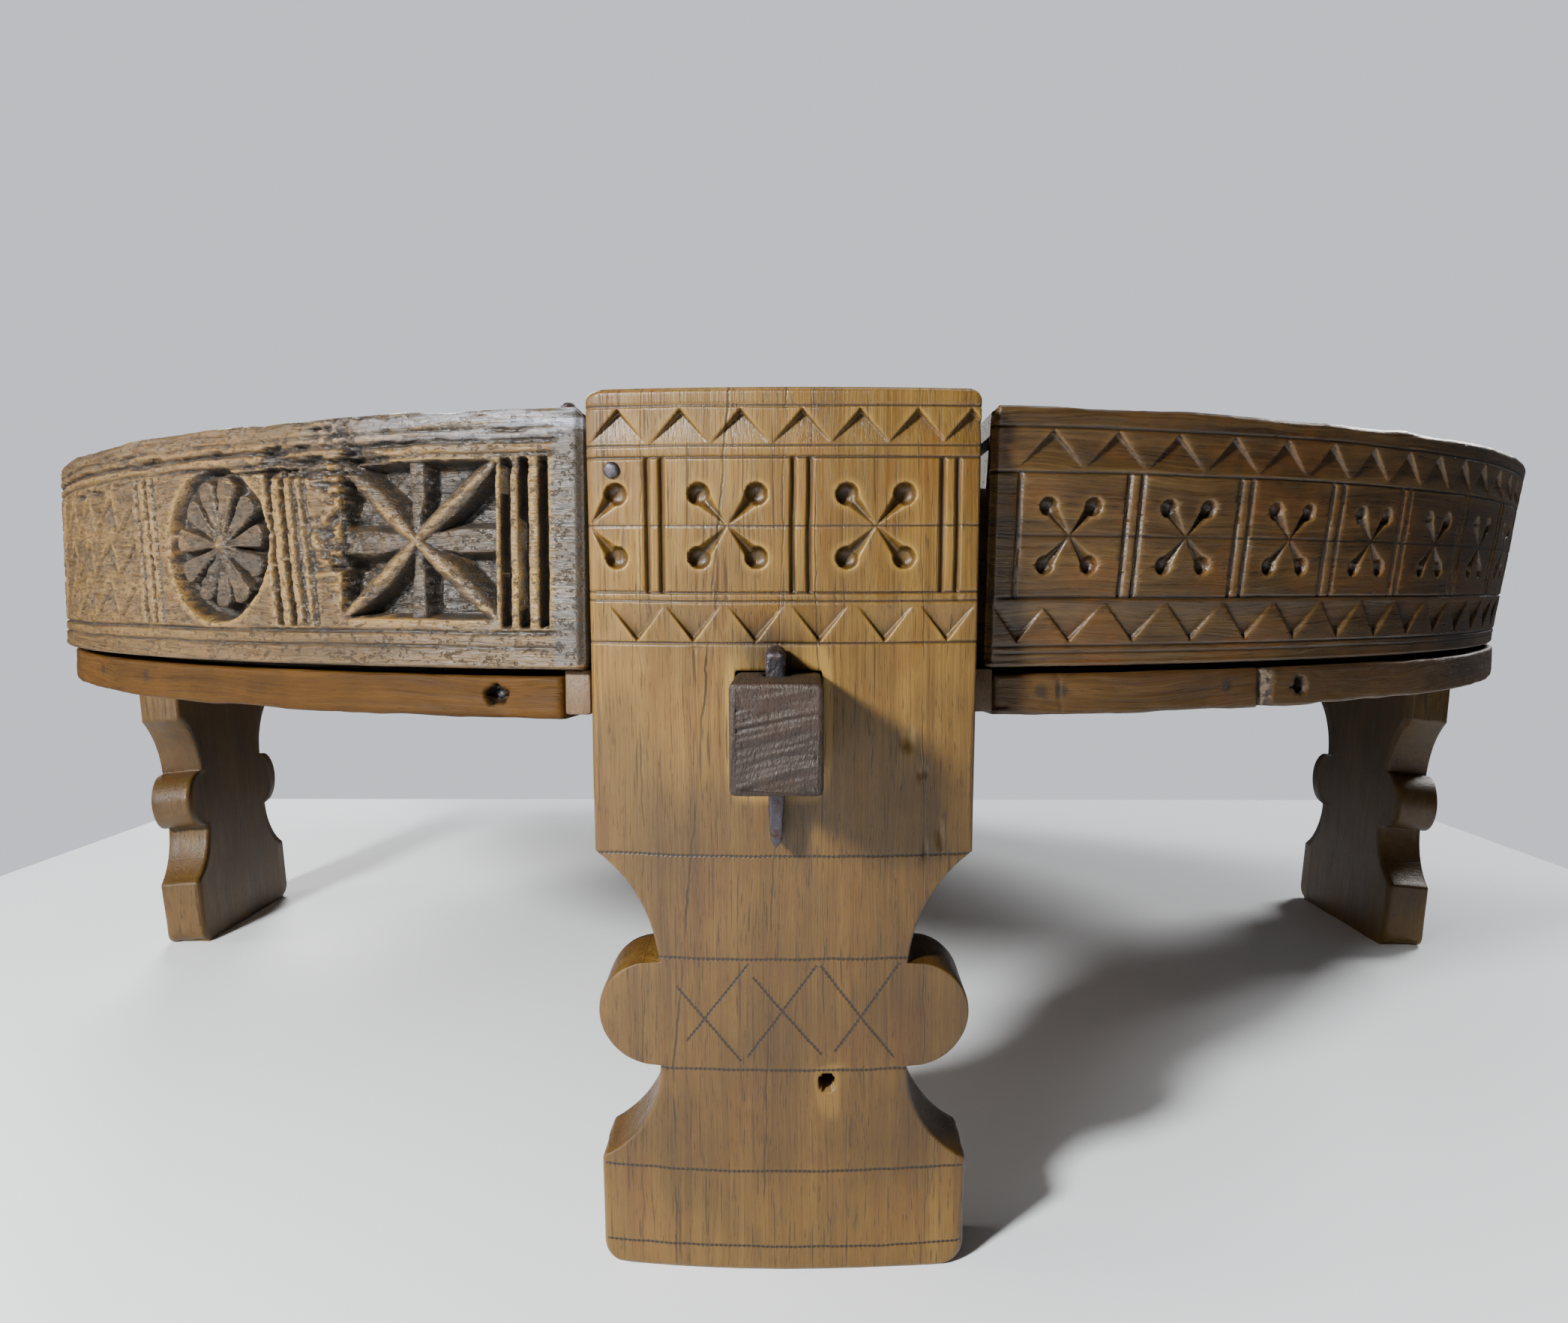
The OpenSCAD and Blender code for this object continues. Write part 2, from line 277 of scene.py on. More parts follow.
def apply_modifiers(obj):
    depsgraph = bpy.context.evaluated_depsgraph_get()
    made = bpy.data.meshes.new_from_object(obj.evaluated_get(depsgraph))
    old = obj.data
    obj.modifiers.clear()
    obj.data = made
    bpy.data.meshes.remove(old)


def thin_out(obj, triangles):
    """Collapses the flattest edges until about that many triangles are left."""
    now = sum(len(p.vertices) - 2 for p in obj.data.polygons)
    if now <= triangles:
        return
    modifier = obj.modifiers.new("thin", "DECIMATE")
    modifier.ratio = triangles / now
    apply_modifiers(obj)


def turned(points, degrees):
    a = math.radians(degrees)
    c, s = math.cos(a), math.sin(a)
    x, y, z = points[..., 0], points[..., 1], points[..., 2]
    return np.stack([x * c - y * s, x * s + y * c, z], -1)


def place(obj, material, body, node, slot):
    """Gives a piece its material and its body, and hides the CAD node it stands for. Its slot is
    not used.
    """
    obj.data.materials.clear()
    obj.data.materials.append(material)
    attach(obj, body)
    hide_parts(node)


# ---------- legs ----------

def from_leaning(u, depth, w):
    """Points in the frame from a leg's own coordinates: across, into its face, along its lean."""
    y = -FOOT_R + depth * math.cos(LEAN) - w * math.sin(LEAN)
    z = depth * math.sin(LEAN) + w * math.cos(LEAN)
    return np.stack([u, y, z], -1)


def to_leaning(points):
    y, z = points[:, 1] + FOOT_R, points[:, 2]
    depth = y * math.cos(LEAN) + z * math.sin(LEAN)
    w = -y * math.sin(LEAN) + z * math.cos(LEAN)
    return points[:, 0], depth, w


def leg_half_width(w, level):
    """Half the width of a leg at height w along it; its top corners follow the level height."""
    def arc(radius, offset):
        return np.sqrt(np.clip(radius ** 2 - offset ** 2, 0, None))
    half = np.full_like(w, LEG_HALF)
    foot = LEG_HALF - FOOT_CORNER + arc(FOOT_CORNER, FOOT_CORNER - np.maximum(w, 0))
    half = np.where(w < FOOT_CORNER, foot, half)
    neck = KNOB_Z - KNOB_R
    flare = WAIST + LOWER_FLARE - arc(LOWER_FLARE, w - neck)
    half = np.where((w >= FOOT_H) & (w < neck), np.minimum(LEG_HALF, flare), half)
    knob = LEG_HALF - KNOB_R + arc(KNOB_R, w - KNOB_Z)
    half = np.where((w >= neck) & (w <= KNOB_Z + KNOB_R), knob, half)
    flare = WAIST + UPPER_FLARE - arc(UPPER_FLARE, np.maximum(w, UPPER_FLARE_Z) - UPPER_FLARE_Z)
    half = np.where((w > KNOB_Z + KNOB_R) & (w < BOARD_Z), np.minimum(LEG_HALF, flare), half)
    top = LEG_H - TOP_CORNER
    rounded = LEG_HALF - TOP_CORNER + arc(TOP_CORNER, np.clip(level - top, 0, TOP_CORNER * 0.97))
    return np.where(level > top, np.minimum(half, rounded), half)


# Carved lines on a leg (height, width, depth), and where its other carving stands
LEG_LINES = [(238.0, 1.0, 0.7), (228.1, 0.9, 0.6), (225.1, 1.0, 0.75), (190.6, 1.0, 0.75),
             (188.4, 0.9, 0.6), (177.5, 1.0, 0.7)]
LEG_PANEL = (190.6, 225.1)
LEG_MIDDLE = 207.8
LEG_UPRIGHTS = [-34.8, -31.1, 2.7, 6.9, 41.1, 45.1]
LEG_UPPER_TEETH = [-42.2, -26.0, -10.6, 5.1, 19.8, 34.5, 48.4]
LEG_LOWER_TEETH = [-38.0, -23.2, -6.9, 9.7, 26.6, 43.0]
# A motif's centre, how far its heads stand off, and which of its arms are on the face
LEG_MOTIFS = [((-14.0, 207.9), (7.4, 8.1), (0, 1, 2, 3)),
              ((24.0, LEG_MIDDLE), (7.4, 8.1), (0, 1, 2, 3)),
              ((-50.2, LEG_MIDDLE), (7.2, 8.1), (0, 3))]
PEG_HOLE = (11.9, 56.2)
LEG_NAIL = (43.8, 222.0)


def leg_carving(u, w, seed):
    """Depth of the carving on a leg's outer face."""
    wander = 0.25 * noise(u / 23, w / 17, seed)
    cuts = [vee(w - height + wander, width, depth) for height, width, depth in LEG_LINES]
    cuts.append(vee(w - LEG_MIDDLE + wander, 0.7, 0.4))
    panel = within(w, *LEG_PANEL)
    cuts += [vee(u - at + wander, 2.1, 1.5) * panel for at in LEG_UPRIGHTS]
    cuts += [chip(u, w, at, 228.4, 237.6, 7.8, 2.5, (0.7, 0.4)) for at in LEG_UPPER_TEETH]
    cuts += [chip(u, w, at, 187.4, 177.6, 7.3, 2.5, (0.4, 1.0)) for at in LEG_LOWER_TEETH]
    cuts += [cross_motif(u, w, centre, spread, 3.0, 3.0, arms)
             for centre, spread, arms in LEG_MOTIFS]
    return deepest(cuts)


def leg_holes(u, w, with_peg_hole):
    """The mortise round the tenon and the small peg hole, as deep cuts."""
    z = w * math.cos(LEAN)
    ease = 0.35
    beside = np.abs(u - TENON_SHIFT) < TENON_W / 2 + ease
    mortise = beside & (z > BEAM_Z - ease) & (z < FLOOR_Z + ease)
    cut = np.where(mortise, LEG_T - 1.5, 0.0)
    if with_peg_hole:
        r = np.hypot(u - PEG_HOLE[0], w - PEG_HOLE[1])
        cut = np.maximum(cut, np.where(r < 2.3, LEG_T - 1.5, vee(r - 2.3, 1.2, 0.3)))
    return cut


def leg_wear(u, w, seed):
    """Dents, scars and slow waves on a leg's faces."""
    wave = 0.22 * (1 + fbm(u / 26, w / 60, seed + 3))
    scars = np.zeros_like(u)
    spots = [(33, 152, 2.6, 4), (37, 143, 2.2, 2), (42, 126, 1.5, 5), (38, 121, 1.2, 4),
             (45.5, 189.2, 1.7, 1.1), (-22, 176.2, 3, 0.6)]
    for at_u, at_w, size_u, size_w in spots:
        r = np.hypot((u - at_u) / size_u, (w - at_w) / size_w)
        ragged = 0.7 + 0.6 * noise(u, w / 2, seed)
        scars = np.maximum(scars, 0.9 * np.clip(1 - r, 0, 1) * ragged)
    return wave + np.clip(scars, 0, None)


def leg_rows():
    """Heights of a leg's sections: close together where it is carved or turns sharply."""
    knob_low, knob_high = KNOB_Z - KNOB_R, KNOB_Z + KNOB_R
    near = np.array([0.04, 0.25, 0.6, 1.1, 1.8, 2.7, 3.8])
    parts = [
        [0, 0.25, 0.7, 1.3, 2.1, 3.0, 4.2, 5.4],
        np.arange(6.3, knob_low - 4.2, 1.0),
        knob_low - near[::-1], knob_low + near,
        np.arange(knob_low + 4.8, knob_high - 4.2, 0.95),
        knob_high - near[::-1], knob_high + near,
        np.arange(knob_high + 4.8, 175.6, 0.95),
        np.arange(175.9, 237.3, 0.29),
        [237.5, 238, 238.5, 239, 239.5, 240, 240.5, 241, 241.4, 241.7, 241.9, LEG_H],
    ]
    return np.concatenate(parts)


def leg_mesh(name, seed, turn, with_peg_hole, front_columns=300):
    """One leg: its carved face, rounded edges, sides and flat inner face."""
    rows = leg_rows()[:, None]
    x = np.linspace(-1, 1, front_columns)[None, :]
    w = rows / math.cos(LEAN) + 0 * x
    half = leg_half_width(w, rows)
    u = x * half
    sag = FOOT_R - np.sqrt(FOOT_R ** 2 - u ** 2)
    w = w - sag * math.tan(LEAN)

    # Edges rounded by wear, more on the left above and on the right of the foot
    left_r = 1.2 + 2.6 * smooth(110, 215, w) + 0.4 * noise(w / 14, w * 0, seed + 9)
    right_r = 0.9 + 2.4 * (1 - smooth(6, 40, w)) + 0.3 * noise(w / 11, w * 0, seed + 12)
    edge = np.zeros_like(u)
    for gap, radius in ((u + half, left_r), (half - u, right_r)):
        inside = np.clip(radius - gap, 0, radius)
        edge = np.maximum(edge, radius - np.sqrt(np.clip(radius ** 2 - inside ** 2, 0, None)))
    ends = 1.2 * (1 - smooth(0, 1.5, LEG_H - rows)) ** 2 + 0.8 * (1 - smooth(0, 1.3, rows)) ** 2
    carve = np.maximum(leg_carving(u, w, seed), leg_holes(u, w, with_peg_hole))
    front_depth = sag + carve + np.maximum(edge, 0) + leg_wear(u, w, seed) + ends

    side = np.linspace(0, 1, 9)[1:]
    back_x = np.linspace(1, -1, 15)[1:]

    def side_points(sign, shares, start):
        depth = start + (LEG_T - 0.25 - start) * shares[None, :]
        w_side = rows / math.cos(LEAN) - depth * math.tan(LEAN)
        half_side = leg_half_width(w_side, rows)
        rub = 0.25 * (1 + fbm(w_side / 9, depth / 7, seed + 20 + sign))
        return from_leaning(sign * (half_side - rub), depth, w_side)

    front = from_leaning(u, front_depth, rows / math.cos(LEAN) - front_depth * math.tan(LEAN))
    right = side_points(1, side, front_depth[:, -1:])
    left = side_points(-1, side[::-1][1:], front_depth[:, :1])
    depth = LEG_T - 0.3 + 0 * rows + 0 * back_x[None, :]
    w_back = rows / math.cos(LEAN) - depth * math.tan(LEAN)
    half_back = leg_half_width(w_back, rows) - 0.3
    rough = 0.5 * (1 + fbm(half_back * back_x / 16, w_back / 45, seed + 40))
    back = from_leaning(back_x[None, :] * half_back, depth - rough, w_back)
    section = np.concatenate([front, right, back, left], 1)
    section[..., 2] = np.clip(section[..., 2], 0, LEG_H)
    obj = lofted(name, section, turn)
    face, dirt_and_shade = np.zeros(section.shape[:2]), np.zeros(section.shape[:2])
    face[:, :front_columns] = 1
    # Darker in the cuts and hollows: dirt and painted shade.
    dirt_and_shade[:, :front_columns] = dirt_and_cavity_shade(carve, 2.6)
    paint(obj, np.stack(to_leaning(section.reshape(-1, 3)), -1), dirt_and_shade, face)
    return obj


# ---------- rim segments ----------

def leg_inner(z):
    """Distance from the centre to the plane of a leg's inner face."""
    return FOOT_R + z * math.tan(LEAN) - (LEG_T + 0.2) / math.cos(LEAN)


def rim_section(columns):
    """A segment's outline as shares: outwards (0 to 1) and upwards (0 to 1), face first."""
    height = RIM_TOP - FLOOR_Z
    thick = RIM_R - RIM_IN
    corners = [(2.2, 0), (1.6, 90), (1.0, 180), (1.2, 270)]
    sides = [columns, 8, 12, 6]
    points = []
    for k, (radius, turn) in enumerate(corners):
        arc = np.radians(turn + np.linspace(0, 90, 6))
        cx = thick - radius if k in (0, 3) else radius
        cz = height - radius if k in (0, 1) else radius
        points.append(np.stack([cx + radius * np.cos(arc), cz + radius * np.sin(arc)], -1))
    outline = []
    for k in range(4):
        start, end = points[k - 1][-1], points[k][0]
        share = np.linspace(0, 1, sides[k] + 2)[1:-1, None]
        outline += [start + (end - start) * share, points[k]]
    outline = np.concatenate(outline)
    return outline[:, 0] / thick, outline[:, 1] / height


def rim_mesh(name, turn, foot_r, end_half, tongue_top, carving, dirt_and_shade_at, seed, step, columns):
    """One quarter of the rim, with its carved face and the tongues behind the two legs."""
    out, up = rim_section(columns)
    height = RIM_TOP - FLOOR_Z
    z = FLOOR_Z + up * height
    face_r = foot_r + (RIM_R - foot_r) * up
    r = RIM_IN + out * (face_r - RIM_IN)
    length = RIM_R * (math.pi / 2 - 2 * math.asin(end_half / RIM_R))
    t = np.linspace(0, 1, int(length / step))[:, None]
    end_angle = np.arcsin(end_half / r)[None, :]
    a = end_angle + t * (math.pi / 2 - 2 * end_angle)
    z = z[None, :] + 0 * t
    along = RIM_R * a
    front = (np.arange(len(out)) < columns + 4)[None, :]
    carve = carving(np.degrees(a), z, seed) * front
    worn = 0.35 * (1 + fbm(along / 13, (z + 3 * r) / 9, seed + 5))
    worn = worn * smooth(0, 2, z - FLOOR_Z - 0.6)
    worn = np.where(front, 0.25 * (1 + fbm(along / 22, z / 6, seed + 6)), worn)
    from_end = np.minimum(a - end_angle, math.pi / 2 - end_angle - a) * RIM_R
    rounding = 1.8 * (1 - smooth(0, 2.2, from_end))
    shrink = worn + carve + rounding * front
    top_wear = (0.5 + 0.9 * fbm(along / 17, out * 3, seed + 8)) * smooth(-3, 0, z - RIM_TOP + 1)
    body_r = np.maximum(r[None, :] - shrink * (out > 0.02), RIM_IN + 0.4)
    body_z = z - np.clip(top_wear, 0, None) - rounding * smooth(0.94, 1, up)
    body = np.stack([body_r * np.sin(a), -body_r * np.cos(a), body_z], -1)

    x = np.array([1.0, 0.99, 0.8, 0.5, 0.25, 0.1, 0.007])[:, None] * end_half
    tongue_z = FLOOR_Z + up[None, :] * (tongue_top - FLOOR_Z) + 0 * x
    inner = np.sqrt(RIM_IN ** 2 - x ** 2)
    far = inner + out[None, :] * (leg_inner(tongue_z) - 0.2 - inner)
    x = x + 0 * far
    first = np.stack([x, -far, tongue_z], -1)[::-1]
    last = np.stack([far, -x, tongue_z], -1)
    section = np.concatenate([first, body, last])
    pad = len(first)
    face, dirt_and_shade = np.zeros(section.shape[:2]), np.zeros(section.shape[:2])
    face[pad:-pad] = front
    # Darker in the cuts and hollows: dirt and painted shade.
    dirt_and_shade[pad:-pad] = dirt_and_cavity_shade(carve, dirt_and_shade_at) * front
    # Painted shadow: the tongues behind the legs are darkened as if in shade.
    dirt_and_shade[:pad] = dirt_and_shade[-pad:] = 0.55
    obj = lofted(name, section, turn)
    x, y, z = (section[..., k] for k in range(3))
    paint(obj, np.stack([z, np.hypot(x, y), RIM_R * np.arctan2(x, -y)], -1), dirt_and_shade, face)
    return obj


def mirrored(a):
    """Angles from the nearer end of a quarter."""
    return np.minimum(a, 90 - a)


# Degrees from a quarter's nearer end, and heights
RAIL_START = 9.9
CROSS_CENTRES = [13.1, 19.2, 25.5, 31.7, 38.2, 45.0]
CROSS_UPRIGHTS = [10.6, 15.9, 16.6, 22.1, 22.8, 28.2, 29.0, 34.1, 34.8, 41.1, 41.9]
CROSS_LINES = [(234.2, 1.0, 0.7), (222.4, 1.0, 0.8), (188.7, 1.0, 0.8), (175.2, 1.0, 0.7),
               (173.2, 0.8, 0.4)]
CROSS_PANEL = (188.7, 222.4)
CROSS_MIDDLE = 205.5


def cross_carving(a, z, seed):
    """Crosses in panels between two rows of triangular chips."""
    b = mirrored(a)
    s = b * ARC
    wander = 0.25 * noise(a * ARC / 25, z / 17, seed)
    panel = within(z, *CROSS_PANEL)
    cuts = [vee(z - CROSS_MIDDLE + wander, 0.7, 0.35) * within(b, CROSS_UPRIGHTS[0], 99)]
    for height, width, depth in CROSS_LINES:
        inside = within(b, RAIL_START, 99) if height < CROSS_MIDDLE else 1
        cuts.append(vee(z - height + wander, width, depth) * inside)
    for at in CROSS_UPRIGHTS:
        width, depth = (1.9, 1.3) if at == CROSS_UPRIGHTS[0] else (2.2, 1.6)
        cuts.append(vee(s - at * ARC + wander, width, depth) * panel)
    for centre in CROSS_CENTRES:
        cuts.append(cross_motif(s, z, (centre * ARC, CROSS_MIDDLE), (6.7, 7.9), 2.6, 2.8))
    for at in np.linspace(12.0, 78.0, 22):
        cuts.append(chip(a * ARC, z, at * ARC, 223.6, 233.7, 9.3, 1.9, (0.6, 0.4)))
    lower = [(at, 9.9, 1.9) for at in np.linspace(13.5, 76.5, 20)]
    for at, half, depth in lower + [(10.9, 8.5, 1.7), (79.1, 8.5, 1.7)]:
        cuts.append(chip(a * ARC, z, at * ARC, 187.2, 176.1, half, depth, (0.4, 0.8)))
    return deepest(cuts)


STAR_AT = 17.0
STAR_Z = 204.6
ROSETTE_AT = 29.8
STAR_LINES = [(234.3, 1.6, 0.9), (231.2, 2.2, 1.7), (227.6, 1.8, 1.2), (179.2, 1.8, 1.4),
              (175.2, 1.5, 1.1)]
# Places of upright grooves along a star segment, from its end, and their depths
RIB_GROOVES = [(64.6, 4.2), (70.4, 4.2), (75.6, 3.8)]
STAR_SEPARATORS = [(141.0, 1.2), (145.2, 1.5), (150.0, 3.0), (155.4, 3.0)]
SCALE_SEPARATORS = [(214.5, 1.4), (219.5, 2.6), (225.5, 1.8)]


def star_carving(u, z):
    """Four leaves and four flat straight rays, with worn tops, in a deep square recess."""
    half_u, half_z, depth = 25.5, 22.0, 7.4
    pocket = np.full_like(u, depth)
    for k in range(8):
        slant = k % 2 == 1
        angle = math.radians(45 * k)
        if slant:
            angle = math.atan2(half_z * math.copysign(1, math.sin(angle)),
                               half_u * math.copysign(1, math.cos(angle)))
        along = u * math.cos(angle) + z * math.sin(angle)
        across = -u * math.sin(angle) + z * math.cos(angle)
        if slant:
            share = np.clip(along / 33.5, 0, 1)
            leaf = 0.4 + 2.1 * np.sin(math.pi * share ** 0.9) ** 0.8
            upward = across * math.copysign(1, math.cos(angle)) > 0
            beyond = np.clip(np.abs(across) - leaf, 0, None)
            flank = 0.5 + 0.42 * np.abs(across) ** 1.3 + beyond * np.where(upward, 1.3, 2.6)
        else:
            half = 2.1 if k % 4 == 2 else 3.2
            half = half * (0.3 + 0.7 * np.clip(along / 14, 0, 1))
            flank = 2.0 + 2.8 * np.clip(np.abs(across) - half, 0, None)
        pocket = np.minimum(pocket, np.where(along > 0, flank, depth))
    wall = np.minimum(half_u - np.abs(u), half_z - np.abs(z))
    return np.where(wall > 0, np.minimum(pocket, 4.5 * np.clip(wall, 0, None)), 0)


def rosette_carving(u, z):
    """Scooped petals that meet in the middle, inside a deep, uneven oval ring."""
    half_u, half_z, petals = 25.2, 23.6, 11
    r = np.hypot(u / half_u, z / half_z)
    angle = np.arctan2(z / half_z, u / half_u) + 0.18
    turn = (angle * petals / (2 * math.pi)) % petals
    number = np.floor(turn)
    phase = np.abs(turn - number - 0.5) * 2
    tone = lattice(number.astype(int), 0 * number.astype(int), 77)
    scoop = 0.7 + 1.6 * tone + 1.3 * (1 - phase) * smooth(0.9, 0.4, r)
    between = (4.6 + 2.4 * tone) * smooth(0.56, 0.90, phase) * smooth(0.06, 0.3, r)
    tip = 0.93 - 0.14 * tone - 0.17 * phase ** 2.5
    ring = 6.0 + 1.6 * np.sin(angle + 3.6)
    cut = np.maximum(scoop, between)
    cut = cut + (ring - cut) * smooth(tip - 0.03, tip + 0.02, r)
    cut = np.where(r < 0.12, 1.6 - 0.8 * smooth(0.12, 0, r), cut)
    wall = (1 - r) * 24
    return np.where(wall > 0, np.minimum(cut, 3.2 * np.clip(wall, 0, None)), 0)


def scale_carving(s, z):
    """Rows of pointed scales: each has a short deep cut on one side and a long thin one."""
    pitch_s, pitch_z, tops = 24.0, 14.0, 224.0
    row_shift = 3.0 * noise(np.floor((tops - z) / pitch_z), 0 * s, 41)
    p = (s - 248 + row_shift + 16) % pitch_s - 16
    q = (tops - z) % pitch_z
    deep_gap = 8.0 * (q / pitch_z) ** 0.8 - p
    thin_gap = p + 16.0 * (q / pitch_z) ** 1.2
    inside = (deep_gap > 0) & (thin_gap > 0)
    fade = smooth(1.0, 0.75, q / pitch_z) * smooth(0.0, 0.22, q / pitch_z)
    deep = 6.4 * np.exp(-np.clip(deep_gap, 0, None) / 4.0) * fade
    thin = 3.0 * np.exp(-np.clip(thin_gap, 0, None) / 1.5)
    return np.where(inside, np.maximum(deep, thin), 0.0)


def weathering(s, z, seed):
    """Furrows, crumbled spots and pits along the grain of an old, dry segment."""
    furrow = fbm(s / 12, z / 1.6, seed + 50, 5)
    lumps = fbm(s / 4.5, z / 3.2, seed + 55, 4)
    broad = fbm(s / 30, z / 9, seed + 60)
    upper = smooth(221, 227, z) * (1 - 0.75 * smooth(232, 236, z))
    crumbled = np.exp(-((s - 131) / 8) ** 2) * smooth(186, 200, z)
    crumbled = crumbled + 0.7 * np.exp(-((s - 160) / 14) ** 2) * upper
    plain = 1 - smooth(175, 181, z)
    strength = 0.30 + 1.1 * upper + 1.5 * crumbled - 0.18 * plain
    cut = np.clip(furrow + 0.5 * broad, 0, None) * 2.4 * strength
    return cut + np.clip(lumps + 0.1, 0, None) * (0.7 + 4.0 * crumbled) * (1 - 0.7 * plain)


def old_carving(a, z, seed):
    """A star, a rosette and fish scales between moulded rails, all weathered."""
    b = mirrored(a)
    s, real_s = b * ARC, a * ARC
    ripple_s = s + 0.3 * noise(real_s / 16, z / 13, seed + 1)
    ripple_z = z + 0.3 * noise(real_s / 18, z / 9, seed + 2)
    rail = within(b, RAIL_START, 99)
    cuts = [vee(ripple_z - height, width, depth) * rail for height, width, depth in STAR_LINES]
    field = within(ripple_z, 180.8, 226.6, 1.2)
    for at, depth in RIB_GROOVES:
        cuts.append(np.minimum(vee(ripple_s - at, 3.1, 1.8 * depth), depth) * field)
    slant = 0.115 * (z - STAR_Z)
    for at, depth in STAR_SEPARATORS + SCALE_SEPARATORS:
        cuts.append(np.minimum(vee(ripple_s - slant - at, 3.0, 2.0 * depth), depth) * field)
    cuts.append(star_carving(ripple_s - STAR_AT * ARC, ripple_z - STAR_Z))
    cuts.append(rosette_carving(ripple_s - ROSETTE_AT * ARC, ripple_z - STAR_Z))
    cuts.append(scale_carving(real_s, ripple_z) * smooth(230.5, 231.5, s) * field)
    return deepest(cuts) + weathering(s, z, seed) * smooth(RAIL_START, RAIL_START + 0.7, b)


# ---------- band ----------

BAND_NAIL_Z = 7.0
LEFT_PIT, RIGHT_PIT, BAND_JOINT = 76.7, 27.4, 25.1
BAND_NAIL_ANGLES = [13.3, 45.0, LEFT_PIT]
BAND_JOINT_NAILS = [12.3, 22.6, RIGHT_PIT, 52.0, 76.7]
PITS = (270 + LEFT_PIT, RIGHT_PIT)
PIT_DEPTH = 4.5
STAR_BAND_R, CROSS_BAND_R, PROUD_BAND_R = 347.0, 339.2, 340.6


def band_mesh(name, turn, from_angle, to_angle, outer_r, seed, hole_at=None, crack_at=None,
              torn=0.0):
    """Part of the band under the rim: a bent strip with worn edges; torn mm of its start."""
    thick, height = 13.5, BAND_TOP - BAND_Z
    radius, face_points = 1.1, 14
    outline = []
    for k, (cx, cz) in enumerate([(1, 1), (-1, 1), (-1, -1), (1, -1)]):
        arc = np.radians(90 * k + np.linspace(0, 90, 4))
        px = cx * (thick / 2 - radius) + radius * np.cos(arc)
        pz = cz * (height / 2 - radius) + radius * np.sin(arc)
        outline.append(np.stack([px, pz], -1))
    side = np.linspace(-height / 2 + radius, height / 2 - radius, face_points + 2)[1:-1]
    outline.append(np.stack([np.full(face_points, thick / 2), side], -1))
    outline = np.concatenate(outline)
    arc_length = math.radians(to_angle - from_angle) * outer_r
    t = np.linspace(0, 1, int(arc_length / 0.7))[:, None]
    a = np.radians(from_angle + (to_angle - from_angle) * t)
    along = a * RIM_R
    z = BAND_Z + height / 2 + outline[None, :, 1] + 0 * a
    outer = outline[None, :, 0] > 0
    rough = 0.22 * (1 + fbm(along / 19, z / 5, seed, 5))
    rough = rough + 0.4 * np.clip(fbm(along / 8, z / 3, seed + 3), 0, 1)
    low_edge = (z < BAND_Z + 2) * 0.7 * np.clip(fbm(along / 21, 0 * z, seed + 4) + 0.3, 0, 1)
    ends = np.clip(1.4 - np.minimum(t, 1 - t) * arc_length, 0, 1.4) * 0.6
    hole = np.zeros_like(z)
    if hole_at is not None:
        du = (along - math.radians(hole_at) * RIM_R) / 3.0
        dz = (z - BAND_Z - BAND_NAIL_Z + 0.3) / 2.3
        ragged = 1.25 + 0.5 * noise(along / 1.7, z / 1.3, seed + 12)
        hole = PIT_DEPTH * np.clip(ragged - np.hypot(du, dz), 0, 0.5) / 0.5
    if crack_at is not None:
        line = along - math.radians(crack_at) * RIM_R + 0.9 * noise(z / 3, 0 * z, seed + 9)
        hole = np.maximum(hole, vee(line + 0.12 * (z - BAND_Z), 0.9, 0.6))
    if torn:
        from_start = t * arc_length - 1.2 * noise(z / 1.6, 0 * z + 0.5, seed + 14)
        hole = np.maximum(hole, 2.2 * np.clip(1 - from_start / torn, 0, 1) ** 0.6)
    r = outer_r - thick / 2 + outline[None, :, 0] - (rough + ends + hole) * outer
    top_gap = 0.3 * (z > BAND_TOP - 2) * (1 + fbm(along / 25, 0 * z, seed + 6))
    z = z + low_edge - top_gap
    section = np.stack([r * np.sin(a), -r * np.cos(a), z], -1)
    obj = lofted(name, section, turn)
    # The pits, the crack and the torn start are darker: dirt and painted shade in these hollows.
    paint(obj, np.stack([z, r + 37 * seed, along + 0 * r], -1), np.clip(hole * outer, 0, 1))
    return obj


# ---------- plain wooden pieces and iron, shaped from their CAD nodes ----------

def softened(node, name, bevel, grid=()):
    """A copy of a CAD node with rounded edges, and with its faces split into a grid in mm."""
    bm = bmesh.new()
    bm.from_mesh(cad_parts[node].data)
    bmesh.ops.remove_doubles(bm, verts=bm.verts, dist=1e-5)
    bmesh.ops.dissolve_limit(bm, angle_limit=math.radians(0.5), verts=bm.verts, edges=bm.edges)
    sharp = [e for e in bm.edges
             if len(e.link_faces) == 2 and e.calc_face_angle() > math.radians(28)]
    bmesh.ops.bevel(bm, geom=sharp, offset=bevel * MM, segments=2, profile=0.6, affect="EDGES")
    for axis, step in enumerate(grid):
        low = min(v.co[axis] for v in bm.verts)
        high = max(v.co[axis] for v in bm.verts)
        normal = [0, 0, 0]
        normal[axis] = 1
        for k in range(1, int((high - low) / (step * MM)) if step else 0):
            at = [0, 0, 0]
            at[axis] = low + k * step * MM
            geom = list(bm.verts) + list(bm.edges) + list(bm.faces)
            bmesh.ops.bisect_plane(bm, geom=geom, plane_co=at, plane_no=normal)
    return from_bmesh(name, bm)


def set_points(obj, points):
    obj.data.vertices.foreach_set("co", (points * MM).astype(np.float32).ravel())
    obj.data.update()


def shade(obj, degrees=35):
    obj.data.polygons.foreach_set("use_smooth", np.ones(len(obj.data.polygons), bool))
    obj.data.set_sharp_from_angle(angle=math.radians(degrees))


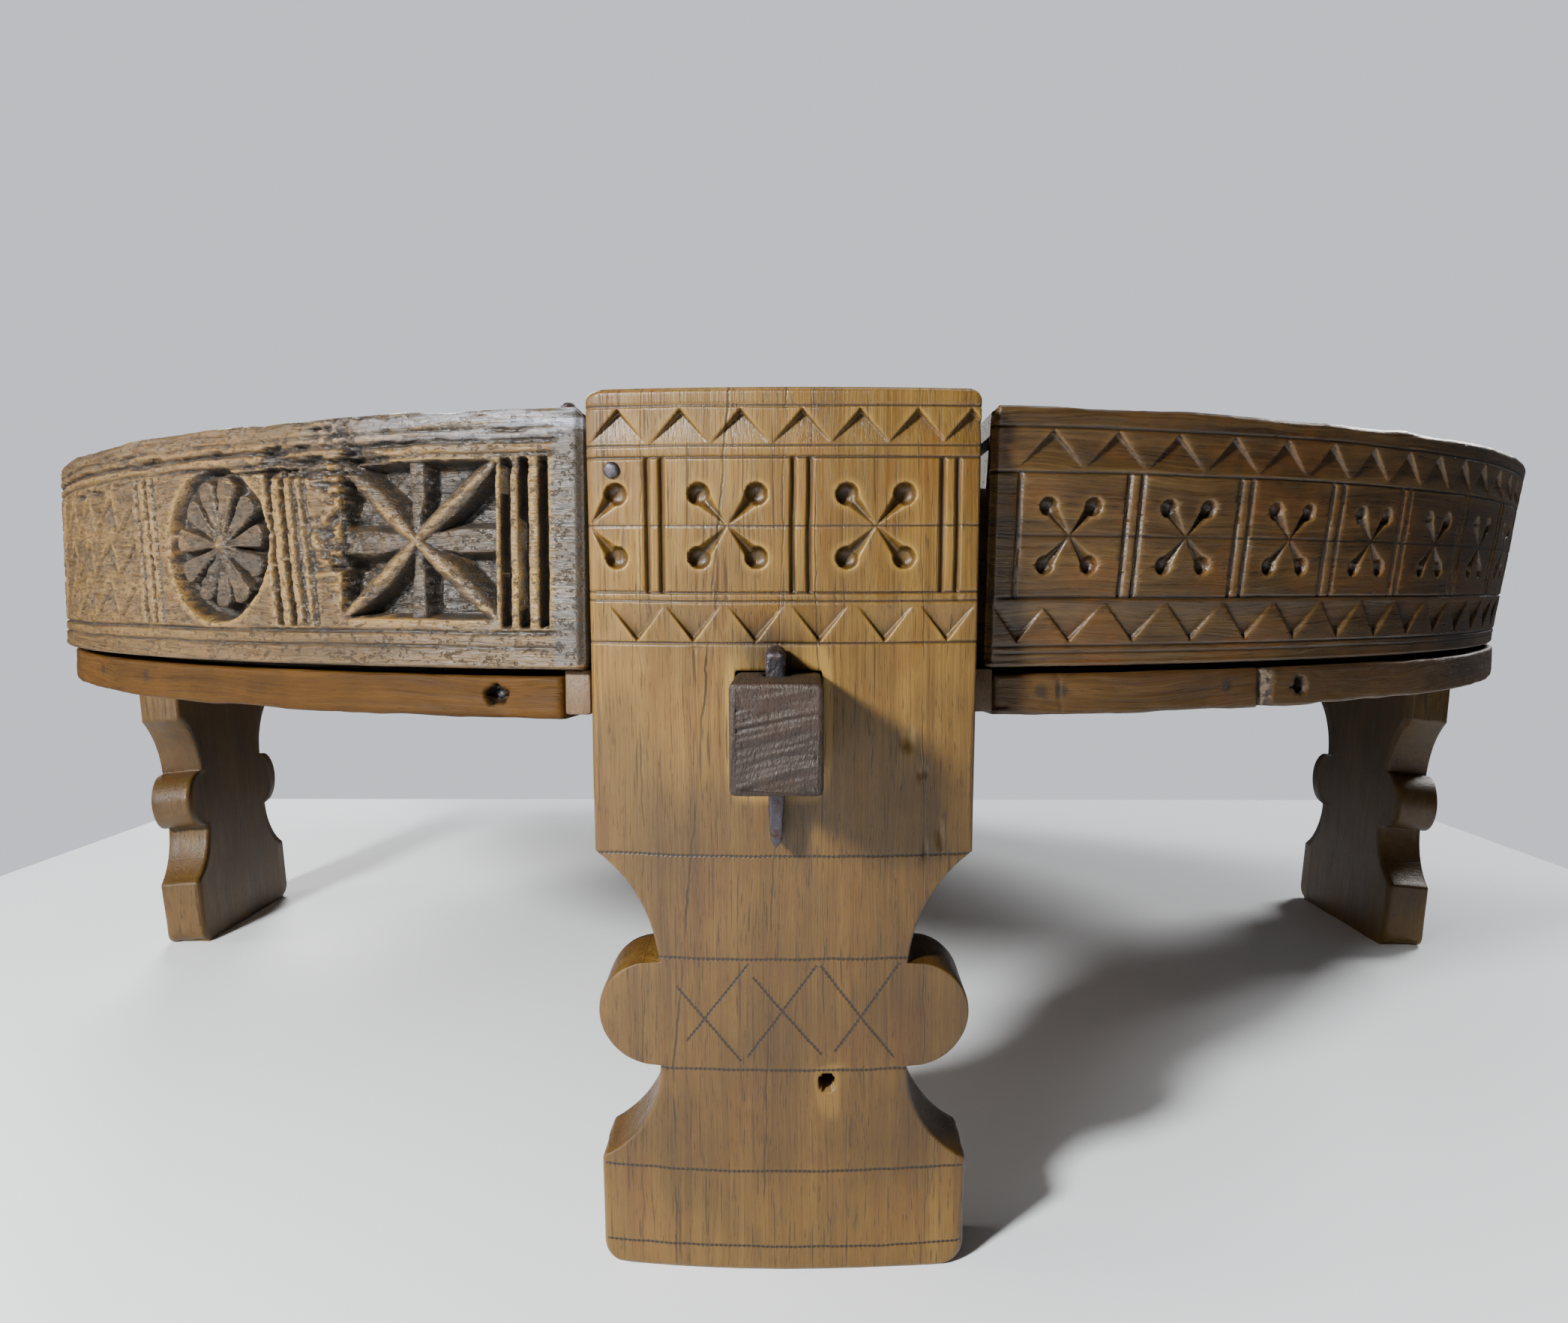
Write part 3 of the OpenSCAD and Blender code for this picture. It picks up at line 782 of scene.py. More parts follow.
def board_piece(node, seed):
    """A floor board with a slightly hollowed, uneven top."""
    obj = softened(node, node + "_wood", 0.8, (9, 14, 0))
    p = points_mm(obj)
    top, low = p[:, 2].max(), p[:, 2].min()
    dip = 0.35 * (1 + fbm(p[:, 0] / 33, p[:, 1] / 60, seed))
    p[:, 2] -= np.where(p[:, 2] > top - 0.3, dip, 0)
    rise = 0.3 * (1 + fbm(p[:, 0] / 20, p[:, 1] / 50, seed + 1))
    p[:, 2] += np.where(p[:, 2] < low + 0.3, rise, 0)
    set_points(obj, p)
    shade(obj)
    paint(obj, np.stack([p[:, 0], p[:, 2], p[:, 1] + 300 * seed], -1))
    return obj


def beam_piece(node, lengthwise, seed):
    """A beam with rounded edges and rough-sawn ends."""
    obj = softened(node, node + "_wood", 1.5)
    bm = bmesh.new()
    bm.from_mesh(obj.data)
    ends = [f for f in bm.faces if abs(f.normal[lengthwise]) > 0.99
            and abs(f.calc_center_median()[lengthwise]) > (TENON_R - 1) * MM]
    edges = {e for f in ends for e in f.edges}
    bmesh.ops.subdivide_edges(bm, edges=list(edges), cuts=63, use_grid_fill=True)
    bm.to_mesh(obj.data)
    bm.free()
    p = points_mm(obj)
    across = p[:, 1 - lengthwise]
    z = p[:, 2]
    sign = np.sign(p[:, lengthwise])
    on_end = np.abs(p[:, lengthwise]) > TENON_R - 0.05
    side = across * np.where(lengthwise == 1, -sign, sign)
    # Saw marks rise gently to one side of each end
    height = z - 0.22 * side + 0.8 * noise(across / 9, z / 6, seed)
    saw = noise(height / 1.05, across / 26, seed + 2) * 0.35
    saw = saw + noise(height / 0.45, across / 12, seed + 3) * 0.18
    deep = np.clip(noise(height / 2.3, across / 15, seed + 4) - 0.35, 0, 1) * 0.8
    relief = 0.55 + saw + deep + 0.3 * fbm(across / 5, z / 4, seed + 5)
    p[:, lengthwise] -= np.where(on_end, sign * np.clip(relief, 0.02, 2), 0)
    set_points(obj, p)
    shade(obj, 50)
    order = (0, 2, 1) if lengthwise == 1 else (1, 2, 0)
    # Deeper saw marks on the ends are darker: dirt and painted shade in them.
    paint(obj, p[:, order], np.where(on_end, np.clip(relief - 0.6, 0, 1), 0), on_end)
    return obj


def wedge_piece(node, seed):
    """A hand-forged iron wedge: hammered faces and rounded edges."""
    obj = softened(node, node + "_iron", 0.7)
    remesh = obj.modifiers.new("even", "REMESH")
    remesh.mode = "VOXEL"
    remesh.voxel_size = 0.42 * MM
    apply_modifiers(obj)
    p = points_mm(obj)
    normals = np.empty(len(p) * 3, np.float32)
    obj.data.vertices.foreach_get("normal", normals)
    normals = normals.reshape(-1, 3)
    hammer = fbm((p[:, 0] + p[:, 1]) / 3.2, p[:, 2] / 3.8, seed, 4) * 0.45 + 0.22
    p -= normals * np.clip(hammer, 0, None)[:, None]
    set_points(obj, p)
    shade(obj, 60)
    paint(obj, p)
    return obj


def gap_nails_piece():
    """The slanting square nails in the gaps beside the legs."""
    obj = softened("gap_nails", "nails_in_gaps", 0.35)
    paint(obj, points_mm(obj))
    shade(obj, 60)
    return obj


# ---------- nails ----------

def nail_at(point, axis, radius, height, length, seed):
    """Points and quads of one hand-forged nail: its head's underside is at point."""
    axis = np.array(axis, float) / np.linalg.norm(axis)
    side = np.cross(axis, [0.31, 0.52, 0.8])
    side /= np.linalg.norm(side)
    other = np.cross(axis, side)
    shank = 1.1
    profile = [(-length, 0.25), (-length + 1, shank * 0.8), (-0.3, shank), (0, shank),
               (0.02, radius * 0.9), (0.22, radius), (0.5, radius * 0.97), (0.8, radius * 0.78),
               (0.95, radius * 0.5), (1.0, radius * 0.12)]
    count = 20
    turn = np.arange(count) * 2 * math.pi / count
    rows = []
    for level, r in profile:
        up = level * height if level > 0 else level
        wobble = 1 - 0.1 * (1 + noise(turn * 1.3, turn * 0 + level, seed)) * (level > 0)
        ring = np.outer(np.cos(turn) * r * wobble, side)
        ring = ring + np.outer(np.sin(turn) * r * wobble, other)
        rows.append(ring + axis * up + point)
    return np.concatenate(rows), len(profile), count


def nail_group(name, nails):
    """One piece made of several nails."""
    points, quads, caps, offset = [], [], [], 0
    for k, nail in enumerate(nails):
        p, rows, cols = nail_at(*nail, seed=11 * k)
        q, c = closed_faces(rows, cols)
        points.append(p)
        quads.append(q + offset)
        caps += [cap + offset for cap in c]
        offset += len(p)
    obj = mesh_object(name, np.concatenate(points), np.concatenate(quads), caps)
    shade(obj, 60)
    paint(obj, points_mm(obj))
    return obj


NAIL_R = 2.3
NAIL_HEAD = 1.2


def leg_nail_group():
    across, along = LEG_NAIL
    nails = []
    for degrees in QUARTERS.values():
        side = -1 if degrees % 180 == 0 else 1
        spot = from_leaning(side * across, 3.0, along)
        top = from_leaning(side * across, 2.0, along)
        spot, axis = turned(spot, degrees), turned(top - spot, degrees)
        nails.append((spot, axis, NAIL_R, NAIL_HEAD, 30.0))
    return nail_group("nails_in_legs", nails)


def rim_nail_group():
    nails = []
    radius = 341
    for start in (180, 0):
        for end in (RAIL_START, 90 - RAIL_START):
            a = math.radians(start + end)
            spot = (radius * math.cos(a), radius * math.sin(a), RIM_TOP)
            nails.append((spot, (0, 0, 1), NAIL_R, 1.5 * NAIL_HEAD, 28.0))
    return nail_group("nails_in_rim_top", nails)


def band_nail_group():
    places = [(start + angle, STAR_BAND_R) for start in (270, 90) for angle in BAND_NAIL_ANGLES]
    places += [(180 + angle, CROSS_BAND_R) for angle in BAND_NAIL_ANGLES]
    places += [(angle, CROSS_BAND_R if angle < BAND_JOINT else PROUD_BAND_R)
               for angle in BAND_JOINT_NAILS]
    nails = []
    for degrees, radius in places:
        sunk = PIT_DEPTH + 0.7 if degrees in PITS else 1.3
        out = turned(np.array([0.0, -1.0, 0.0]), degrees)
        spot = out * (radius - sunk) + [0, 0, BAND_Z + BAND_NAIL_Z]
        nails.append((spot, out, 1.8, 1.0, 28.0))
    return nail_group("nails_in_band", nails)


def floor_nail_group():
    from_middle, row_x = 22, (34, 82, 118, 188, 224, 300)
    nails = [((sx * x, sy * from_middle, FLOOR_Z), (0, 0, 1), NAIL_R, NAIL_HEAD, 20.0)
             for x in row_x for sx in (-1, 1) for sy in (-1, 1)]
    return nail_group("nails_in_floor", nails)


# ---------- materials ----------

class Value:
    """A number in a node tree. Arithmetic on it adds math nodes."""

    def __init__(self, nodes, socket):
        self.nodes, self.socket = nodes, socket

    def __add__(self, other):
        return self.nodes.math("ADD", self, other)

    def __sub__(self, other):
        return self.nodes.math("SUBTRACT", self, other)

    def __mul__(self, other):
        return self.nodes.math("MULTIPLY", self, other)

    def __truediv__(self, other):
        return self.nodes.math("DIVIDE", self, other)

    def __gt__(self, other):
        return self.nodes.math("GREATER_THAN", self, other)

    def __lt__(self, other):
        return self.nodes.math("LESS_THAN", self, other)

    def __abs__(self):
        return self.nodes.math("ABSOLUTE", self)

    def clamped(self):
        self.socket.node.use_clamp = True
        return self


class Nodes:
    """A short way to write a material's node tree."""

    def __init__(self, name):
        self.material = bpy.data.materials.new(name)
        self.material.use_nodes = True
        self.tree = self.material.node_tree
        self.shader = self.tree.nodes["Principled BSDF"]

    def add(self, kind, inputs=(), **settings):
        node = self.tree.nodes.new(kind)
        for key, value in settings.items():
            setattr(node, key, value)
        for key, value in dict(inputs).items():
            self.feed(node.inputs[key], value)
        return node

    def feed(self, socket, value):
        if isinstance(value, Value):
            self.tree.links.new(value.socket, socket)
        else:
            socket.default_value = value

    def math(self, operation, a, b=0.0):
        return Value(self, self.add("ShaderNodeMath", {0: a, 1: b}, operation=operation).outputs[0])

    def attribute(self, name, output="Fac"):
        return Value(self, self.add("ShaderNodeAttribute", attribute_name=name).outputs[output])

    def noise(self, vector, scale, detail=3.0, rough=0.55, distortion=0.0):
        node = self.add("ShaderNodeTexNoise", {"Vector": vector, "Scale": scale, "Detail": detail,
                                               "Roughness": rough, "Distortion": distortion})
        return Value(self, node.outputs["Fac"])

    def streaks(self, place, shares, detail=3.0, rough=0.55):
        """Noise with a share for each coordinate: a small one draws it out that way."""
        scaled = {k: place[k] * shares[k] for k in range(3)}
        vector = Value(self, self.add("ShaderNodeCombineXYZ", scaled).outputs[0])
        return self.noise(vector, 1.0, detail, rough)

    def between(self, value, low, high, out_low=0.0, out_high=1.0):
        node = self.add("ShaderNodeMapRange", {"Value": value, "From Min": low, "From Max": high,
                        "To Min": out_low, "To Max": out_high}, interpolation_type="SMOOTHSTEP")
        return Value(self, node.outputs[0])

    def mix(self, factor, a, b, blend="MIX"):
        node = self.add("ShaderNodeMix", data_type="RGBA", blend_type=blend, clamp_factor=True)
        for socket, value in ((0, factor), (6, a), (7, b)):
            self.feed(node.inputs[socket], (*value, 1) if isinstance(value, tuple) else value)
        return Value(self, node.outputs[2])

    def ramp(self, value, dark, middle, light):
        node = self.add("ShaderNodeValToRGB", {"Fac": value})
        elements = node.color_ramp.elements
        for k, (place, colour) in enumerate([(0.33, dark), (0.68, light), (0.50, middle)]):
            element = elements[k] if k < 2 else elements.new(place)
            element.position = place
            element.color = (*colour, 1)
        return Value(self, node.outputs[0])


def most(masks):
    result = masks[0]
    for mask in masks[1:]:
        result = mask.nodes.math("MAXIMUM", result, mask)
    return result


def dotted(n, across, along, start, end):
    """A row of small punched dots from start to end, in the leg's own millimetres."""
    pitch, width, soft = 1.3, 0.5, 0.16
    length = math.dist(start, end)
    dx, dy = (end[0] - start[0]) / length, (end[1] - start[1]) / length
    x, y = across - start[0], along - start[1]
    run = x * dx + y * dy
    off = abs(x * dy - y * dx)
    reach = off + n.math("PINGPONG", run, pitch / 2) * 0.55
    dot = n.between(reach, width + soft, width - soft)
    return dot * (abs(run - length / 2) < length / 2)


def ruled(n, coordinate, at, width=0.42):
    """A thin scribed line where a coordinate, in millimetres, has one value."""
    return n.between(abs(coordinate - at), width, width * 0.3)


def hairline(n, place, at, strength, width=0.32):
    """A long drying crack that wanders along the grain and comes and goes."""
    across, _, along = place
    sway = n.streaks((at, along, along), (0.37, 0.0, 0.045), 4.0, 0.6) * 3.6 - 1.8
    line = n.between(abs(across + sway - at), width, width * 0.25)
    broken = n.streaks((across, 3.0, along), (0.06, 1.0, 0.05))
    return line * n.between(broken, 0.40, 0.56, 0.15, 1.0) * strength


def wood(name, tones, dirt_and_shade_tone, blotch_tone, rough=0.5, figure=5.0, wavy=4.0, pores=0.5, bump=0.3,
         dirt_and_shade_gain=1.0, marks=None, blotch_share=0.55, contrast=1.0, gloss=0.4, seed=0.0):
    """Old wood: rings and streaks along the grain, pores, blotches, and dirt and painted shade in
    the cuts.
    """
    n = Nodes(name)
    grain = n.attribute("grain", "Vector")
    split = n.add("ShaderNodeSeparateXYZ", {0: grain})
    across, into, along = (Value(n, socket) for socket in split.outputs)
    dark, middle, light = tones

    shifted = across + seed
    warp = n.streaks((shifted, into, along), (0.03, 0.03, 0.011), 2.0) - 0.5
    bent = (warp * (wavy * 3.5) + shifted, into, along)
    rings = n.streaks(bent, (1 / figure, 0.05, 0.006), 3.0, 0.6)
    fine = n.streaks(bent, (1.5, 0.6, 0.03), 4.0, 0.65)
    pore = n.between(n.streaks(bent, (3.4, 1.6, 0.17), 2.0, 0.5), 0.60, 0.70)
    colour = n.ramp((rings * 0.5 + fine * 0.5 - 0.5) * contrast + 0.5, dark, middle, light)

    blotch = n.streaks((shifted, into, along), (0.035, 0.03, 0.021), 3.0, 0.6)
    shade_by = n.between(blotch, 0.30, 0.70, 0.74, 1.2)
    grey = n.add("ShaderNodeCombineColor", {0: shade_by, 1: shade_by, 2: shade_by})
    colour = n.mix(1.0, colour, Value(n, grey.outputs[0]), "MULTIPLY")
    warm = n.streaks((shifted, into, along), (0.065, 0.065, 0.039), 4.0, 0.65)
    colour = n.mix(n.between(warm, 0.48, 0.66, 0.0, blotch_share), colour, blotch_tone)
    colour = n.mix(pore * pores, colour, tuple(0.35 * c for c in dark))

    patches = n.noise(grain, 0.35, 4.0, 0.6)
    # Rubbed edges are lighter; the cuts and hollows are darker with dirt and painted shade.
    dirt_and_shade_map = n.attribute("dirt_and_shade")
    colour = n.mix((dirt_and_shade_map * -0.9).clamped(), colour, tuple(1.35 * c for c in light))
    dirt_and_shade = (dirt_and_shade_map * dirt_and_shade_gain).clamped() * n.between(patches, 0.25, 0.62, 0.45, 1.0)
    colour = n.mix(dirt_and_shade.clamped(), colour, dirt_and_shade_tone)
    roughness = n.between(fine, 0.3, 0.7, rough - 0.08, rough + 0.1)
    height = pore * (-0.6 * pores) + fine + patches * 0.35
    if marks:
        colour, height, roughness = marks(n, (across, into, along), colour, height, roughness)

    n.feed(n.shader.inputs["Base Color"], colour)
    n.feed(n.shader.inputs["Roughness"], roughness)
    n.shader.inputs["Specular IOR Level"].default_value = gloss
    relief = n.add("ShaderNodeBump", {"Height": height, "Strength": bump, "Distance": 0.6 * MM})
    n.feed(n.shader.inputs["Normal"], Value(n, relief.outputs[0]))
    return n.material


def iron(name, tone, rust, rough, twist):
    """Dark forged iron with a dull shine and rust-brown patches."""
    n = Nodes(name)
    grain = n.attribute("grain", "Vector")
    coarse = n.noise(grain, 0.22, 4.0, 0.6, twist)
    fine = n.noise(grain, 1.1, 5.0, 0.65)
    colour = n.mix(n.between(coarse, 0.42, 0.66), tone, rust)
    colour = n.mix(n.between(fine, 0.5, 0.75, 0.0, 0.5), colour, tuple(2.4 * c for c in tone))
    n.feed(n.shader.inputs["Base Color"], colour)
    n.shader.inputs["Metallic"].default_value = 0.75
    n.feed(n.shader.inputs["Roughness"], n.between(coarse, 0.3, 0.7, rough - 0.1, rough + 0.18))
    bump = n.add("ShaderNodeBump", {"Height": fine, "Strength": 0.5, "Distance": 0.5 * MM})
    n.feed(n.shader.inputs["Normal"], Value(n, bump.outputs[0]))
    return n.material


# Heights of the punched rows on a leg, and the ends of its punched crosses
PUNCHED_ROWS = [120.4, 91.6, 59.8, 30.0, 7.3]
PUNCHED_CROSSES = [((-9.3, 90.3), (-26.5, 67.7)), ((-29, 83.7), (-11.4, 62.5)),
                   ((9.1, 89.7), (-9.8, 63.4)), ((-8.2, 86.5), (10.6, 64.3)),
                   ((31.6, 90), (14, 65)), ((10.2, 89.7), (30.4, 62.9))]


def leg_marks(n, place, colour, height, roughness):
    """Scribed and punched lines, drying cracks and the dark stain round the wedge's head."""
    across, _, along = place
    on_face = n.attribute("face") > 0.6
    swayed = (n.streaks(place, (0.06, 0.0, 0.05), 2.0) - 0.5) * 1.4 + along
    rows = [((-50, at), (50, at)) for at in PUNCHED_ROWS]
    dots = most([dotted(n, across, swayed, *ends) for ends in rows + PUNCHED_CROSSES]) * on_face

    lines = [ruled(n, along, at) for at, _, _ in LEG_LINES] + [ruled(n, along, LEG_MIDDLE)]
    uprights = most([ruled(n, across, at, 0.6) for at in LEG_UPRIGHTS])
    panel = (along > LEG_PANEL[0]) * (along < LEG_PANEL[1])
    scribed = most(lines + [uprights * panel]) * on_face

    bend = n.math("MAXIMUM", along - 60.0, 0.0) * 0.092
    cracks = most([hairline(n, place, bend - 30.0, 1.0, 0.5),
                   hairline(n, place, along * -0.022 + 13.0, 0.85),
                   hairline(n, place, along * 0.015 - 39.5, 0.7),
                   hairline(n, place, along * 0.03 - 6.0, 0.7),
                   hairline(n, place, along * -0.02 + 40.0, 0.6)])

    du, dw = (across + 4.0) / 14.0, (along - 175.0) / 11.0
    distance = n.math("SQRT", du * du + dw * dw)
    ragged = n.streaks(place, (0.4, 0.0, 0.06), 4.0) * 1.2
    stain = n.between(distance + ragged, 1.75, 0.75, 0.0, 0.8) * on_face
    # Darker lower down, lighter again near the foot: painted shade for light falling off downward,
    # with some darker patina.
    patina_and_falloff_shade = n.between(along, 172.0, 112.0) * n.between(along, 8.0, 40.0, 0.25, 1.0)
    streaks = n.between(n.streaks(place, (1.05, 0.5, 0.045), 2.0, 0.5), 0.62, 0.70, 0.0, 0.7)

    colour = n.mix(patina_and_falloff_shade, colour, n.mix(1.0, colour, (0.57, 0.53, 0.44), "MULTIPLY"))
    colour = n.mix(streaks, colour, (0.024, 0.012, 0.003))
    colour = n.mix(scribed * 0.8, colour, (0.014, 0.008, 0.004))
    colour = n.mix(dots * 0.95, colour, (0.010, 0.006, 0.003))
    colour = n.mix(cracks * 0.8, colour, (0.014, 0.008, 0.004))
    colour = n.mix(stain, colour, (0.014, 0.009, 0.006))
    height = height + streaks * -0.6 + dots * -1.6 + cracks * -1.2
    return colour, height, roughness


def cross_marks(n, place, colour, height, roughness):
    """Dark scribed lines."""
    lines = [at for at, _, _ in CROSS_LINES] + [CROSS_MIDDLE]
    scribed = most([ruled(n, place[0], at, 0.5) for at in lines]) * (n.attribute("face") > 0.6)
    return n.mix(scribed * 0.7, colour, (0.008, 0.005, 0.003)), height, roughness


def star_marks(n, place, colour, height, roughness):
    """Bare grey fibres, dark specks and a painted grey highlight on the polished upper rail."""
    across, _, along = place
    dirt_and_shade = n.attribute("dirt_and_shade")
    on_face = n.attribute("face") > 0.5
    end = n.math("PINGPONG", along, 45 * ARC)
    near_leg = n.between(end, 150.0, 60.0)
    strip = n.between(end, 62.6, 61.4) * on_face
    greyness = near_leg * 0.30 + n.between(across, 222.0, 232.0) * 0.25 + (strip * 0.8 + 0.08)
    greyness = greyness * n.between(dirt_and_shade, 0.15, 0.9, 1.0, 0.3)
    fibre = n.between(n.streaks(place, (0.8, 0.5, 0.07), 5.0, 0.7), 0.38, 0.60)
    fibre = (most([fibre, strip * 0.55]) * greyness).clamped()
    speck = n.between(n.streaks(place, (0.55, 0.55, 0.4), 5.0, 0.75), 0.54, 0.64, 0.0, 0.8)
    # Painted highlight: a bluish-white reflection on the upper rail near the legs.
    painted_highlight = n.between(across, 230.0, 235.0, 0.0, 0.75) * near_leg * on_face
    painted_highlight = painted_highlight * n.between(n.streaks(place, (0.45, 0.0, 0.025), 5.0, 0.7), 0.40, 0.54)
    painted_highlight = painted_highlight * n.between(dirt_and_shade, 0.1, 0.5, 1.0, 0.0)
    colour = n.mix(fibre, colour, (0.052, 0.047, 0.041))
    colour = n.mix(speck, colour, (0.014, 0.009, 0.005))
    colour = n.mix(painted_highlight, colour, (0.27, 0.29, 0.35))
    return colour, height + speck * -0.8, roughness - painted_highlight * 0.15


def band_marks(n, place, colour, height, roughness):
    """Rust-black stains round the nails, and bare wood at the torn joint."""
    across, _, along = place
    rough_edge = n.noise(n.attribute("grain", "Vector"), 0.6, 4.0)
    stains = []
    for angle in sorted(set(BAND_NAIL_ANGLES + BAND_JOINT_NAILS)):
        x, y = along - angle * ARC, across - (BAND_Z + BAND_NAIL_Z)
        distance = n.math("SQRT", x * x + y * y) + rough_edge * 3.0
        stains.append(n.between(distance, 4.4, 2.4))
    colour = n.mix(most(stains) * 0.7, colour, (0.009, 0.007, 0.006))
    from_joint = abs(along - BAND_JOINT * ARC) + rough_edge * 14.0
    bare = n.between(from_joint, 9.0, 7.2, 0.0, 0.6)
    return n.mix(bare, colour, (0.10, 0.070, 0.040)), height, roughness


def shaded(tones, share):
    return tuple(tuple(share * c for c in tone) for tone in tones)


def build_materials():
    # Each wood's dark, middle and light tone
    honey = ((0.064, 0.031, 0.0050), (0.116, 0.062, 0.0100), (0.160, 0.094, 0.0200))
    russet = ((0.015, 0.0082, 0.0033), (0.046, 0.0250, 0.0081), (0.086, 0.050, 0.016))
    grey_brown = ((0.021, 0.0105, 0.0027), (0.070, 0.0375, 0.0080), (0.130, 0.076, 0.0200))
    amber = ((0.022, 0.0085, 0.0010), (0.043, 0.0185, 0.0018), (0.064, 0.029, 0.0034))
    umber = ((0.026, 0.0110, 0.0020), (0.050, 0.0235, 0.0036), (0.076, 0.039, 0.0071))
    plain = ((0.050, 0.027, 0.012), (0.095, 0.053, 0.024), (0.145, 0.087, 0.043))
    sable = ((0.008, 0.0032, 0.0012), (0.016, 0.0072, 0.0028), (0.027, 0.0130, 0.0055))
    leg_dirt_and_shade, band_dirt_and_shade = (0.014, 0.008, 0.0035), (0.006, 0.004, 0.003)
    leg_look = dict(pores=0.75, marks=leg_marks, blotch_share=0.5, dirt_and_shade_gain=0.7, contrast=0.9)
    return {
        "leg_front": wood("leg_front_wood", honey, leg_dirt_and_shade, (0.098, 0.041, 0.0060), rough=0.42,
                          wavy=1.6, **leg_look),
        "leg": wood("leg_wood", shaded(honey, 0.85), leg_dirt_and_shade, (0.085, 0.036, 0.0060), rough=0.45,
                    figure=6.0, wavy=2.5, seed=700.0, **leg_look),
        "cross": wood("cross_rim_wood", russet, (0.010, 0.006, 0.004), (0.088, 0.034, 0.007),
                      rough=0.34, figure=4.0, bump=0.35, marks=cross_marks, blotch_share=0.5,
                      dirt_and_shade_gain=0.6, seed=90.0),
        "star": wood("star_rim_wood", grey_brown, (0.010, 0.0092, 0.0085), (0.105, 0.050, 0.012),
                     rough=0.42, wavy=3.0, pores=0.6, bump=0.7, marks=star_marks, dirt_and_shade_gain=1.35,
                     seed=300.0),
        "band": wood("band_wood", amber, band_dirt_and_shade, (0.060, 0.024, 0.0020), rough=0.58, wavy=3.0,
                     pores=0.45, bump=0.45, marks=band_marks, gloss=0.12, seed=500.0),
        "band_dark": wood("band_dark_wood", umber, band_dirt_and_shade, (0.050, 0.022, 0.006), bump=0.5,
                          marks=band_marks, seed=620.0),
        "floor": wood("floor_wood", plain, (0.02, 0.013, 0.008), (0.085, 0.045, 0.022),
                      rough=0.58, figure=9.0, wavy=5.0, pores=0.6, bump=0.35, seed=40.0),
        "beam": wood("beam_wood", sable, (0.005, 0.0035, 0.003), (0.026, 0.011, 0.005),
                     rough=0.52, bump=0.6, seed=150.0),
        "wedge": iron("wedge_iron", (0.040, 0.037, 0.044), (0.035, 0.018, 0.012), 0.38, 0.4),
        "nail": iron("nail_iron", (0.06, 0.06, 0.07), (0.04, 0.022, 0.015), 0.45, 1.3),
    }


# ---------- the object ----------

def build_object():
    made = build_materials()
    face_triangles, plain_triangles, band_triangles = 185000, 100000, 18000
    for k, (side, degrees) in enumerate(QUARTERS.items()):
        front = side == "front"
        leg = leg_mesh("leg_%s_wood" % side, 101 + 13 * k, degrees, front)
        thin_out(leg, face_triangles if front else plain_triangles)
        place(leg, made["leg_front" if front else "leg"], "root", "leg_" + side, "leg_wood")
        wedge = "wedge_" + side
        place(wedge_piece(wedge, 7 + k), made["wedge"], wedge, wedge, "wedge_iron")

    cross = dict(foot_r=340.0, end_half=55.7, tongue_top=219.0, carving=cross_carving, dirt_and_shade_at=2.4)
    star = dict(foot_r=350.0, end_half=53.2, tongue_top=231.0, carving=old_carving, dirt_and_shade_at=1.9)
    rims = [("rim_front_right", 0, cross, "cross_rim_wood", 0.36, 200, face_triangles),
            ("rim_front_left", 270, star, "star_rim_wood", 0.4, 180, face_triangles),
            ("rim_back_left", 180, cross, "cross_rim_wood", 0.5, 140, 120000),
            ("rim_back_right", 90, star, "star_rim_wood", 0.5, 140, 130000)]
    for k, (node, turn, kind, slot, step, columns, triangles) in enumerate(rims):
        rim = rim_mesh(node + "_wood", turn, seed=211 + 17 * k, step=step, columns=columns, **kind)
        thin_out(rim, triangles)
        place(rim, made["star" if kind is star else "cross"], "root", node, slot)

    start, joint, end = 9.95, (24.85, 24.95), 80.05
    bands = [("band_front_left", 270, start, end, STAR_BAND_R, "band", {"hole_at": LEFT_PIT}),
             ("band_front_right_short", 0, start, joint[0], CROSS_BAND_R, "band_dark",
              {"crack_at": 13.4}),
             ("band_front_right_long", 0, joint[1], end, PROUD_BAND_R, "band_dark",
              {"hole_at": RIGHT_PIT, "torn": 3.2}),
             ("band_back_left", 180, start, end, CROSS_BAND_R, "band_dark", {}),
             ("band_back_right", 90, start, end, STAR_BAND_R, "band", {})]
    for k, (node, turn, low, high, radius, kind, flaws) in enumerate(bands):
        strip = band_mesh(node + "_wood", turn, low, high, radius, 307 + 19 * k, **flaws)
        thin_out(strip, band_triangles)
        place(strip, made[kind], "root", node, "band_wood")

    boards = sorted(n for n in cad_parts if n.startswith("board_"))
    for k, node in enumerate(boards):
        place(board_piece(node, 401 + 7 * k), made["floor"], "root", node, "floor_wood")
    for node, lengthwise, seed in (("beam_long", 1, 503), ("beam_cross", 0, 541)):
        place(beam_piece(node, lengthwise, seed), made["beam"], "root", node, "beam_wood")

    makers = {"leg_nails": leg_nail_group, "rim_nails": rim_nail_group,
              "band_nails": band_nail_group, "floor_nails": floor_nail_group,
              "gap_nails": gap_nails_piece}
    for node, maker in makers.items():
        place(maker(), made["nail"], "root", node, "nail_iron")


# ---------- stage ----------

def plain_material(name, colour, rough):
    n = Nodes(name)
    n.shader.inputs["Base Color"].default_value = (*colour, 1)
    n.shader.inputs["Roughness"].default_value = rough
    n.shader.inputs["Specular IOR Level"].default_value = 0.3
    return n.material


